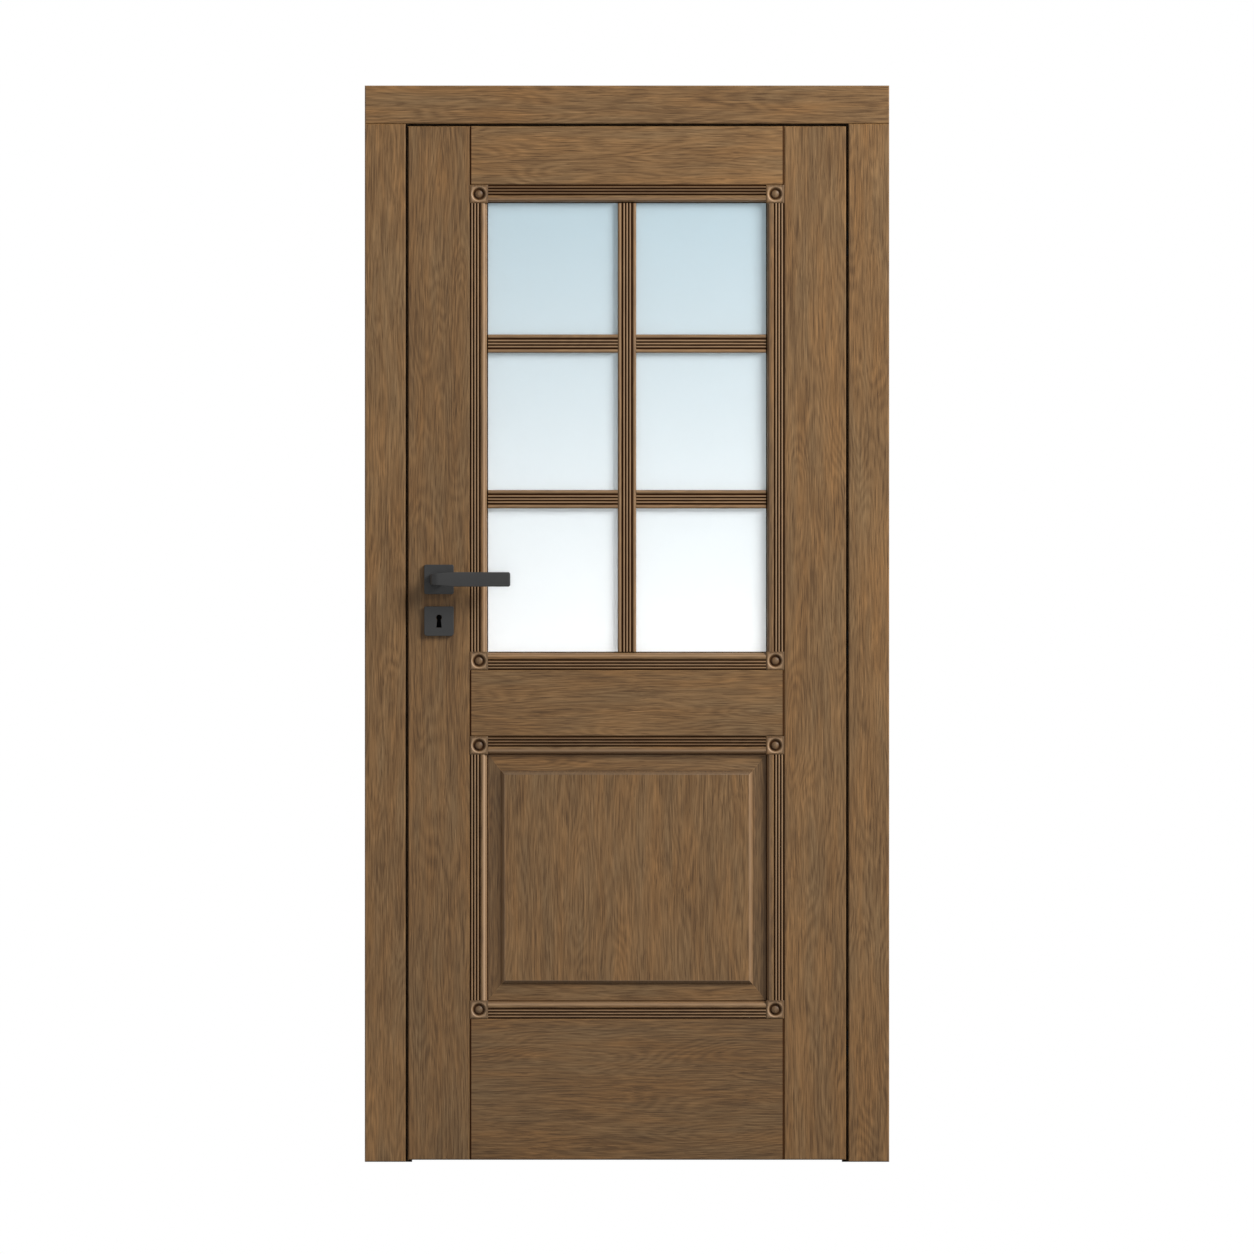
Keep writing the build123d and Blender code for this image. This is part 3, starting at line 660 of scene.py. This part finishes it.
# Stain held by the reeds and rubbed off the roll, for the latch, hinge, bottom and top runs.
# It differs by run as painted shade on the reeds and a painted highlight on the roll.
RUN_SHADE_AND_HIGHLIGHT = {
    "glazing": ((0.0, 0.60), (0.0, 0.42), (0.18, 0.42), (0.42, 0.50)),
    "panel": ((0.0, 0.95), (0.0, 0.45), (0.12, 0.45), (0.38, 0.95)),
}


class DOOR_OT_mouldings(Operator):
    """Builds the reeded mouldings round both openings on both faces"""

    bl_idname = "door.mouldings"
    bl_label = "Mouldings"

    def execute(self, context):
        looks = context.scene.door_looks.moulding
        inner = looks.width
        for (side, sign), opening in product(SIDES, OPENINGS):
            node = f"{side}_{opening}_mouldings"
            low, high, face, seat = seated(node, sign)
            profile = moulding_profile(looks, seat)
            tall = (high.z - low.z - 2 * inner) * Z
            wide = (high.x - low.x - 2 * inner) * X
            runs = [
                prism(profile, start, along, across, sign * Y)
                for across, start, along in (
                    (X, (low.x, face, low.z + inner), tall),
                    (-X, (high.x, face, low.z + inner), tall),
                    (Z, (low.x + inner, face, low.z), wide),
                    (-Z, (low.x + inner, face, high.z), wide),
                )
            ]
            wear_and_painted_light = [np.tile(moulding_wear_and_painted_light(looks, profile, *worn_and_lit), 2) for worn_and_lit in RUN_SHADE_AND_HIGHLIGHT[opening]]
            piece(
                f"{side}_{opening}_reeded_moulding",
                runs,
                ("oak_moulding_upright", "oak_moulding_crosswise"),
                (node,),
                picks=(0, 0, 1, 1),
                wear_and_painted_light=np.hstack(wear_and_painted_light),
            )
        return {"FINISHED"}


def moulding_wear_and_painted_light(looks, profile, stain, roll_highlight):
    """Stain held and stain rubbed off at a moulding's points.

    The grooves hold stain by their depth, partly painted shade, and the reeds as much more as
    stain says, which differs by run as painted shade. The roll is made paler by a bell curve
    whose peak, the given height, lies between its crest and the opening: a painted highlight.
    """
    on_reeds = profile[:, 0] < looks.roll_start
    held_and_shade, rubbed_and_highlight = reeded_wear_and_painted_light(profile, -looks.setback, -looks.groove, on_reeds)
    # Extra stain on the reeds of some runs: painted shade.
    held_and_shade = np.where(on_reeds, held_and_shade + (1 - held_and_shade) * stain, held_and_shade)
    # The quirk is darkened fully: painted shade.
    held_and_shade[-3:] = 1.0  # The quirk beside the opening
    # The roll's pale band is a painted highlight.
    peak, spread = 0.45, 0.28
    share = (profile[:, 0] - looks.roll_crest) / (looks.width - looks.roll_crest)
    roll = roll_highlight * np.exp(-(((share - peak) / spread) ** 2))
    return held_and_shade, rubbed_and_highlight * (1 - stain) + np.where(on_reeds, 0, roll)


def moulding_profile(looks, seat):
    """Three half round reeds beside a roll, from the board's edge towards the opening.

    A point's first number runs across the moulding, its second out of the leaf's face. The
    roll is a quarter of one ellipse up to its crest and of a longer one down to the opening.
    """
    crest, floor = -looks.setback, -looks.groove
    points = [[[0, -seat], [0, floor]]]
    for number in range(3):
        middle = looks.edge + looks.reed_radius + number * looks.reed_pitch
        points.append(reed(middle, looks.reed_radius, crest, floor))
    crest_at, last = looks.roll_crest, looks.width - looks.quirk
    turn = np.linspace(0, math.pi / 2, 9)
    rise = crest_at - (crest_at - looks.roll_start) * np.cos(turn)
    points.append(np.column_stack((rise, floor + (crest - floor) * np.sin(turn))))
    turn = np.linspace(0, math.pi / 2, 22)[1:]
    fall = crest_at + (last - crest_at) * np.sin(turn)
    points.append(np.column_stack((fall, crest - looks.roll_fall * (1 - np.cos(turn)))))
    ledge = MM - seat
    points.append([[last, ledge], [looks.width, ledge], [looks.width, -seat]])
    return np.concatenate(points)


class DOOR_OT_rosettes(Operator):
    """Builds the turned corner blocks of both openings on both faces"""

    bl_idname = "door.rosettes"
    bl_label = "Rosettes"

    def execute(self, context):
        looks = context.scene.door_looks.rosette
        half = context.scene.door_looks.moulding.width / 2
        for (side, sign), opening in product(SIDES, OPENINGS):
            node = f"{side}_{opening}_rosettes"
            low, high, face, seat = seated(node, sign)
            rings, wear_and_painted_light = rosette_rings(looks, half, seat)
            corners = product((low.x + half, high.x - half), (low.z + half, high.z - half))
            blocks = [ringed(placed(rings, (x, face, z), X, Z, sign * Y)) for x, z in corners]
            name = f"{side}_{opening}_turned_rosettes"
            piece(name, blocks, ("oak_rosette",), (node,), wear_and_painted_light=np.tile(wear_and_painted_light, 4), sharp=30)
        return {"FINISHED"}


def rosette_rings(looks, half, seat):
    """A turned button in a bowl that passes into a square block, as rings from the middle out.

    Each ring goes once round by angle t. A round ring is radius * (cos t, sin t); a square
    one is its half size over the larger of |cos t| and |sin t|, times (cos t, sin t). The
    height follows the button's sphere, the bowl's round floor and wall, then the eased edge.
    """
    count = 96
    way = circle(count)
    square = way / np.abs(way).max(axis=1, keepdims=True)
    sphere = (looks.button_radius**2 + looks.button_rise**2) / (2 * looks.button_rise)
    lean = np.linspace(0.06, 1, 12) * looks.button_radius
    button = np.sqrt(sphere**2 - lean**2) - sphere - looks.button_sink
    share = np.linspace(0, 1, 12)
    hollow = looks.ring_radius + (looks.bowl_radius - looks.ring_radius) * share
    bowl = -looks.bowl_depth * (1 - share) ** 1.15
    radii = np.concatenate((lean, [looks.button_radius * 1.03], hollow))
    heights = np.concatenate((button, [-looks.bowl_depth], bowl))
    levels = [(radius * way, height) for radius, height in zip(radii, heights)]
    ease = np.linspace(0, math.pi / 2, 5)
    sizes = (*(half + looks.ease_width * (np.sin(ease) - 1)), half, half)
    depths = (*(looks.ease_depth * (np.cos(ease) - 1)), -seat / 2, -seat)
    levels += [(size * square, depth) for size, depth in zip(sizes, depths)]
    # The ditch round the button is darkened: painted shade. The bowl's rim and the button's top
    # are paler: painted highlights.
    ring = (looks.button_radius + looks.ring_radius) / 2
    ditch_shade = np.clip(1.6 - np.abs(radii - ring) / (1.6 * MM), 0, 1)
    wall = (radii - looks.ring_radius) / (looks.bowl_radius - looks.ring_radius)
    rim = np.clip(wall * 2.5 - 0.8, 0, 1) + 0.25 * np.exp(-((radii / (4 * MM)) ** 2))
    wear_and_painted_light = np.zeros((2, len(levels)))
    wear_and_painted_light[:, : len(radii)] = ditch_shade, 0.75 * rim
    ends = np.column_stack((wear_and_painted_light[:, 0], (0.0, 0.0)))
    return stacked(levels), np.hstack((np.repeat(wear_and_painted_light, count, axis=1), ends))


class DOOR_OT_panel(Operator):
    """Builds the raised panel with its sloped borders and bevels"""

    bl_idname = "door.panel"
    bl_label = "Raised panel"

    def execute(self, context):
        looks = context.scene.door_looks
        rings, wear_and_painted_light = panel_rings(looks.panel, looks.moulding.width, *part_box("raised_panel"))
        node, shape = "raised_panel", [ringed(rings)]
        piece("raised_field_panel", shape, ("oak_panel",), (node,), wear_and_painted_light=wear_and_painted_light, sharp=30)
        return {"FINISHED"}


def panel_rings(looks, cover, low, high):
    """Rectangles from the middle of one face over the slab's edge to the middle of the other.

    From the field outwards: the rounded arris, the bevel, the border that slopes down to the
    moulding, and the slab under the moulding. The other face has the same rings mirrored.
    """
    border = np.array((looks.side_border, looks.end_border))
    half = np.array(((high.x - low.x) / 2, (high.z - low.z) / 2))
    foot = half - cover - border
    field = foot - looks.bevel
    slab = looks.field_setback - looks.slab_setback
    rise = -slab - looks.border_rise
    # Each ring's half sizes, height, stain held and stain rubbed off. The stain held at the
    # bevel's and the border's foot is painted shade; the rubbed arris and bevel are painted
    # highlights.
    levels = [(field * 0.5, 0.0, 0.0, 0.0), (field - 0.6 * MM, 0.0, 0.0, 0.0)]
    for share in np.linspace(0, 1, 5):
        drop = rise * looks.arris / looks.bevel * share**2 * 0.5
        levels.append((field + looks.arris * share, -drop, 0.0, 0.35))
    for share in (0.25, 0.5, 0.75, 1.0):
        size = field + looks.arris + (looks.bevel - looks.arris) * share
        levels.append((size, (drop - rise) * share - drop, 0.3 * share**3, 0.45 - 0.35 * share))
    for share, stain in ((0.06, 0.15), (0.12, 0.0), (1.0, 0.0)):
        levels.append((foot + border * share, -rise - looks.border_rise * share, stain, 0.0))
    levels.append((half, slab, 0.0, 0.0))
    corners = np.array(((-1, -1), (1, -1), (1, 1), (-1, 1)))
    depth = (high.y - low.y) / 2
    rings = stacked([(size * corners, depth + height) for size, height, _, _ in levels])
    front, rear = (placed(rings, (low + high) / 2, X, Z, sign * Y) for _, sign in SIDES)
    worn_and_lit = np.array([level[2:] for level in levels]).T
    worn_and_lit = np.repeat(np.hstack((worn_and_lit, worn_and_lit[:, ::-1])), len(corners), axis=1)
    return np.concatenate((front, rear[::-1])), np.hstack((worn_and_lit, np.zeros((2, 2))))


class DOOR_OT_bars(Operator):
    """Builds the glazing bars on both faces of the glass"""

    bl_idname = "door.bars"
    bl_label = "Glazing bars"

    def execute(self, context):
        looks = context.scene.door_looks.bar
        half = looks.width / 2
        crest = -looks.setback
        for side, sign in SIDES:
            low, high, face, seat = seated(f"{side}_upright_bar", sign)
            profile = bar_profile(looks, seat)
            on_reeds = np.abs(profile[:, 0]) < half - looks.bead_width * 0.98
            # Darker grooves and paler crests and beads: held and rubbed stain, partly painted shade
            # and highlights.
            held_and_shade, rubbed_and_highlight = reeded_wear_and_painted_light(profile, crest, crest - looks.groove, on_reeds)
            drop = (crest - profile[:, 1]) / looks.bead_rise
            rubbed_and_highlight = rubbed_and_highlight + np.where(on_reeds, 0, np.clip(1 - drop, 0, 1) * 0.3)
            middle = (low.x + high.x) / 2
            upright = [prism(profile, (middle, face, low.z), (high.z - low.z) * Z, X, sign * Y)]
            first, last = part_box(f"{side}_crossbars")
            crosswise = [
                prism(profile, (start, face, height), (end - start) * X, Z, sign * Y)
                for height in (first.z + half, last.z - half)
                for start, end in ((first.x, middle - half), (middle + half, last.x))
            ]
            for name, node, grain, runs in (
                ("upright_glazing_bar", "upright_bar", "upright", upright),
                ("cross_glazing_bars", "crossbars", "crosswise", crosswise),
            ):
                oak = (f"oak_moulding_{grain}",)
                wear_and_painted_light = np.tile((held_and_shade, rubbed_and_highlight), 2 * len(runs))
                piece(f"{side}_{name}", runs, oak, (f"{side}_{node}",), wear_and_painted_light=wear_and_painted_light)
        return {"FINISHED"}


def bar_profile(looks, seat):
    """A glazing bar's section: a rounded bead at each side and three half round reeds."""
    half = looks.width / 2
    crest = -looks.setback
    floor = crest - looks.groove
    reach = looks.bead_width / 2
    radius = (reach**2 + looks.bead_rise**2) / (2 * looks.bead_rise)
    spread = math.degrees(math.asin(reach / radius))
    beads = [
        arc((middle, crest - radius), radius, 90 + spread, 90 - spread, 15)
        for middle in (reach - half, half - reach)
    ]
    reeds = [reed(n * looks.reed_pitch, looks.reed_radius, crest, floor) for n in (-1, 0, 1)]
    inner = half - 2 * reach
    points = ([[-half, -seat]], beads[0], [[-inner, floor]], *reeds)
    return np.concatenate((*points, [[inner, floor]], beads[1], [[half, -seat]]))


class DOOR_OT_levers(Operator):
    """Builds the two lever handles"""

    bl_idname = "door.levers"
    bl_label = "Levers"

    def execute(self, context):
        looks = context.scene.door_looks.handle
        for side, sign in SIDES:
            node = f"{side}_lever"
            low, high, face, foot = seated(node, sign)
            rings = lever_rings(looks, foot, foot + high.y - low.y, high.x - low.x)
            start = (low.x, face, (low.z + high.z) / 2)
            shape = [ringed(placed(rings, start, X, sign * Y, Z))]
            coat = ("black_powder_coat",)
            piece(f"{node}_handle", shape, coat, (node,), "handle", sharp=50)
        return {"FINISHED"}


def lever_rings(looks, foot, front, reach):
    """Rounded rectangles that follow the neck out of the rose, round the turn and along the arm.

    Seen from above, each ring spans from a point of the outer line to one of the inner line.
    Its half height grows evenly along X. Its corners are quarter circles of the edge radius,
    and towards the tip the ring draws in along a quarter circle.
    """
    tip = np.radians(np.linspace(0, 90, 9))
    tips = reach - looks.tip_corner * (1 - np.sin(tip))
    thin = front - looks.tip_thickness
    lines = []
    # Each line's start along X, radius, depth before the turn and at the tip, and the gap
    # between the turn and the arm's first ring
    for start, radius, depth, end, gap in (
        (0.0, looks.turn, front, front, 12 * MM),
        (looks.neck, looks.inner_turn, front - looks.thickness, thin, 4 * MM),
    ):
        neck = np.linspace((start, foot), (start, depth - radius), 6)
        turn = arc((start + radius, depth - radius), radius, 180, 90, 14)[1:]
        arm = np.linspace((start + radius + gap, depth), (reach, end), 16)[:-1]
        nose = np.column_stack((tips, np.full(len(tip), end)))
        lines.append(np.concatenate((neck, turn, arm, nose)))
    outer, inner = lines
    draw = np.zeros(len(outer))
    draw[-len(tip) :] = 1 - np.cos(tip)
    middle = (outer + inner) / 2
    width = np.linalg.norm(outer - inner, axis=1)
    unit = (outer - inner) / width[:, None]
    quarter = arc((0, 0), 1.0, 0, 90, 7)
    radius = looks.edge * (1 - 0.85 * draw)
    half_width = width / 2 - looks.edge * draw
    knees = (0, looks.heel + looks.shoulder)
    heights = (looks.heel_height / 2, looks.tip_height / 2)
    rings = []
    for sign_a, sign_b in ((1, 1), (-1, 1), (-1, -1), (1, -1)):
        bend = (quarter if sign_a * sign_b > 0 else quarter[::-1]) * (sign_a, sign_b)
        across = sign_a * (half_width - radius)[:, None] + radius[:, None] * bend[:, 0]
        ground = middle[:, None] + across[..., None] * unit[:, None]
        height = np.interp(ground[..., 0], knees, heights) - (looks.tip_corner * draw)[:, None]
        up = sign_b * (height - radius[:, None]) + radius[:, None] * bend[:, 1]
        rings.append(np.concatenate((ground, up[..., None]), axis=2))
    return np.concatenate(rings, axis=1)


class DOOR_OT_plates(Operator):
    """Builds the square roses and escutcheons under the levers"""

    bl_idname = "door.plates"
    bl_label = "Roses and escutcheons"

    def execute(self, context):
        looks = context.scene.door_looks.handle
        kinds = (("handle_rose", looks.spindle_hole * circle(96)), ("escutcheon", keyhole(looks)))
        for (side, sign), (kind, hole) in product(SIDES, kinds):
            node = f"{side}_{kind}"
            low, high, face, _ = seated(node, sign)
            rings = plate_rings(looks, hole, (high.x - low.x) / 2, high.y - low.y)
            middle = ((low.x + high.x) / 2, face, (low.z + high.z) / 2)
            shape = [ringed(placed(rings, middle, X, Z, sign * Y), looped=True)]
            coat = ("black_powder_coat",)
            piece(f"{side}_square_{kind}", shape, coat, (node,))
        return {"FINISHED"}


def keyhole(looks):
    """The outline of a keyhole about its middle: a round head over a slot that widens down."""
    half, head = looks.key_height / 2, looks.key_head
    side = math.degrees(math.asin(looks.key_waist / head))
    top = arc((0, half - head), head, side - 90, 270 - side, 48)
    corners = (top[-1], (-0.9 * head, -half), (0.9 * head, -half), top[0])
    runs = [np.linspace(a, b, 13)[1:] for a, b in zip(corners, corners[1:])]
    return np.concatenate((top, *runs))[:-1]


def plate_rings(looks, hole, half, thick):
    """Rings over a square plate with a hole: outer side, rounded edge, face and hole wall.

    Each ring's points lie in the directions of the hole's points. A direction meets the
    rounded square at half / max(|cos|, |sin|), or in a corner at the far root of the circle
    of the corner radius about the corner's own middle.
    """
    way = hole / np.linalg.norm(hole, axis=1, keepdims=True)
    reach = np.abs(way)

    def square(inset):
        size, radius = half - inset, looks.plate_corner - inset
        flat = size / reach.max(axis=1)
        core = size - radius
        along = core * reach.sum(axis=1)
        root = np.sqrt(np.maximum(along**2 - 2 * core**2 + radius**2, 0))
        in_corner = flat * reach.min(axis=1) > core
        return way * np.where(in_corner, along + root, flat)[:, None]

    edge = looks.plate_edge
    levels = [(square(0), 0.0)]
    for turn in np.linspace(0, math.pi / 2, 6):
        levels.append((square(edge * (1 - math.cos(turn))), thick - edge * (1 - math.sin(turn))))
    levels.append((square(edge + 0.3 * MM), thick))
    for size, sink in ((1.12, 0.0), (1.06, 0.0), (1.02, 0.1 * MM), (1.0, 0.4 * MM), (1.0, thick)):
        levels.append((hole * size, thick - sink))
    return stacked(levels)


class DOOR_OT_screws(Operator):
    """Builds the screws of the forend, the strike plate and the hinge cups"""

    bl_idname = "door.screws"
    bl_label = "Screws"

    def execute(self, context):
        looks = context.scene.door_looks.screw
        rings = screw_rings(looks)
        for node, sign, body in (
            ("lock_forend", -1.0, "leaf"),
            ("strike_plate", 1.0, "frame"),
            ("leaf_hinge_cups", 1.0, "leaf"),
            ("frame_hinge_cups", -1.0, "frame"),
        ):
            low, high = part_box(node)
            face = high.x if sign > 0 else low.x
            middle = (low.y + high.y) / 2
            heights = (low.z + looks.from_end, high.z - looks.from_end)
            if "hinge" in node:
                ends = (low.z + looks.hinge_height / 2, high.z - looks.hinge_height / 2)
                hinges = (ends[0], sum(ends) / 2, ends[1])
                heights = [z + step * looks.hinge_spread for z in hinges for step in (-1, 1)]
            heads = [ringed(placed(rings, (face, middle, z), Y, Z, sign * X)) for z in heights]
            piece(f"{node}_screws", heads, ("brushed_steel",), (), body, sharp=30)
        return {"FINISHED"}


def screw_rings(looks):
    """A domed screw head with a cross recess, as rings from the middle out.

    In the direction t the cross ends at the smaller of reach / max(|cos t|, |sin t|) and
    waist / min(|cos t|, |sin t|). The dome is a sphere's cap, and the last ring goes into
    the plate.
    """
    way = circle(48)
    reach = np.abs(way)
    taper, bottom, sunk = math.radians(15), 0.05 * MM, -0.4 * MM
    waist = looks.recess * math.tan(taper)
    thin = np.maximum(reach.min(axis=1), 1e-6)
    cross = np.minimum(looks.recess / reach.max(axis=1), waist / thin)[:, None]
    sphere = (looks.radius**2 + looks.rise**2) / (2 * looks.rise)
    levels = [(way * cross * share, bottom) for share in (0.35, 0.7)]
    for radius in (cross, *(looks.radius * share for share in (0.6, 0.75, 0.9, 1.0))):
        dome = np.sqrt(sphere**2 - radius**2) - sphere + looks.rise
        levels.append((way * radius, np.ravel(dome)))
    levels.append((way * looks.radius, sunk))
    return stacked(levels)


class DOOR_OT_stage(Operator):
    """Sets the floor, the light and the camera"""

    bl_idname = "door.stage"
    bl_label = "Stage"

    def execute(self, context):
        looks = context.scene.door_looks.stage
        scene = context.scene
        centre = Vector(((cad_box[0][0] + cad_box[1][0]) / 2, 0.0, looks.view_height))
        floor_half, stand_off = 7.0, 6.0
        mesh = bpy.data.meshes.new("floor")
        signs = ((-1, -1), (1, -1), (1, 1), (-1, 1))
        corners = [(x * floor_half, y * floor_half, 0) for x, y in signs]
        mesh.from_pydata(corners, [], [(0, 1, 2, 3)])
        mesh.materials.append(floor_finish(looks, centre))
        shown("floor", mesh)

        camera = shown("camera", bpy.data.cameras.new("camera"))
        camera.data.type = "ORTHO"
        camera.data.ortho_scale = looks.view_width
        camera.location = centre - Vector((0, stand_off, 0))
        camera.rotation_euler = (math.pi / 2, 0, 0)
        scene.camera = camera

        # Each lamp's power, side, place and the point that it faces
        key = centre + looks.key_distance * Vector((0.69, -0.50, 0.53))
        back = centre + looks.key_distance * Vector((-0.69, 0.50, 0.53))
        glow = centre + Vector((0, 2.6, -0.55))
        for name, watts, size, place, aim in (
            ("key_light", looks.key_power, 2.8, key, centre),
            ("back_light", looks.back_power, 2.8, back, centre),
            ("glass_light", looks.glass_power, 1.8, glow, glow - Vector((0, 1, 0))),
        ):
            lamp = shown(name, bpy.data.lights.new(name, "AREA"))
            lamp.data.energy = watts
            lamp.data.size = size
            lamp.location = place
            lamp.rotation_euler = (aim - place).to_track_quat("-Z", "Y").to_euler()
            lamp.visible_camera = False

        world = bpy.data.worlds.new("studio")
        scene.world = world
        world.use_nodes = True
        world.node_tree.nodes.clear()
        node = partial(add, world.node_tree)
        given = node("Background", ((*looks.ambient, 1),))
        white = node("Background", ((1, 1, 1, 1),))
        surface = node("MixShader", (in_sight(node), given, white))
        node("OutputWorld", (surface,))
        scene.view_settings.view_transform = "Standard"
        return {"FINISHED"}


def in_sight(node):
    """One for rays that show a thing, straight or in metal and glass, and zero for light."""
    rays = ("Is Camera Ray", "Is Glossy Ray", "Is Transmission Ray")
    straight, mirrored, passed = (node("LightPath", outlet=ray) for ray in rays)
    either = node("Math", (straight, mirrored), operation="MAXIMUM")
    return node("Math", (either, passed), operation="MAXIMUM")


def floor_finish(looks, centre):
    """A plain matt studio floor that passes into a white backdrop away from the door.

    A faint cloudiness keeps it from a flat colour. The white is only for rays that show it.
    """
    material, node, shader, place = blank("studio_floor")
    cloud = node("TexNoise", {"Vector": place, "Scale": 1.5})
    tone = node("MapRange", span(cloud, start=0.98, end=1.02))
    shades = {6: (*looks.bounce, 1), 7: (*looks.floor, 1)}
    base = node("Mix", {0: in_sight(node), **shades}, 2, data_type="RGBA")
    colour = node("VectorMath", {0: base, "Scale": tone}, operation="SCALE")
    join(shader, {"Base Color": colour, "Roughness": 0.9, "Specular IOR Level": 0.1})
    middle = (centre.x, centre.y, 0.0)
    away = node("VectorMath", (place, middle), "Value", operation="DISTANCE")
    inputs = span(away, looks.floor_reach, looks.backdrop_reach)
    share = node("MapRange", inputs, interpolation_type="SMOOTHSTEP")
    share = node("Math", (share, in_sight(node)), operation="MULTIPLY")
    white = node("Emission")
    surface = node("MixShader", (share, shader.outputs[0], white))
    join(material.node_tree.nodes["Material Output"], {"Surface": surface})
    material.cycles.emission_sampling = "NONE"
    return material


class DOOR_PT_looks(Panel):
    """Lists the door's steps and settings in the sidebar"""

    bl_idname = "DOOR_PT_looks"
    bl_label = "Glazed door"
    bl_space_type = "VIEW_3D"
    bl_region_type = "UI"
    bl_category = "Door"

    def draw(self, context):
        looks = context.scene.door_looks
        for step in STEPS:
            self.layout.operator(step.bl_idname)
        for name in settings(looks):
            group = getattr(looks, name)
            box = self.layout.box()
            box.label(text=name.capitalize())
            for key in settings(group):
                box.prop(group, key)


def settings(group):
    """The names of a group's own settings."""
    return [key for key in group.bl_rna.properties.keys() if key not in ("rna_type", "name")]


GROUPS = (MouldingLooks, RosetteLooks, PanelLooks, BarLooks, HandleLooks)
GROUPS += (ScrewLooks, FinishLooks, StageLooks, DoorLooks)
STEPS = (DOOR_OT_board_finish, DOOR_OT_fittings_finish, DOOR_OT_mouldings, DOOR_OT_rosettes)
STEPS += (DOOR_OT_panel, DOOR_OT_bars, DOOR_OT_levers, DOOR_OT_plates, DOOR_OT_screws)
STEPS += (DOOR_OT_stage,)


def register():
    """Registers the settings, the steps and the panel."""
    for kind in (*GROUPS, *STEPS, DOOR_PT_looks):
        bpy.utils.register_class(kind)
    bpy.types.Scene.door_looks = PointerProperty(type=DoorLooks)


def unregister():
    """Takes the panel, the steps and the settings away again."""
    del bpy.types.Scene.door_looks
    for kind in reversed((*GROUPS, *STEPS, DOOR_PT_looks)):
        bpy.utils.unregister_class(kind)


def main():
    """Builds the door's looks in order."""
    register()
    for step in STEPS:
        getattr(bpy.ops.door, step.bl_idname.removeprefix("door."))()


if __name__ == "__main__":
    main()
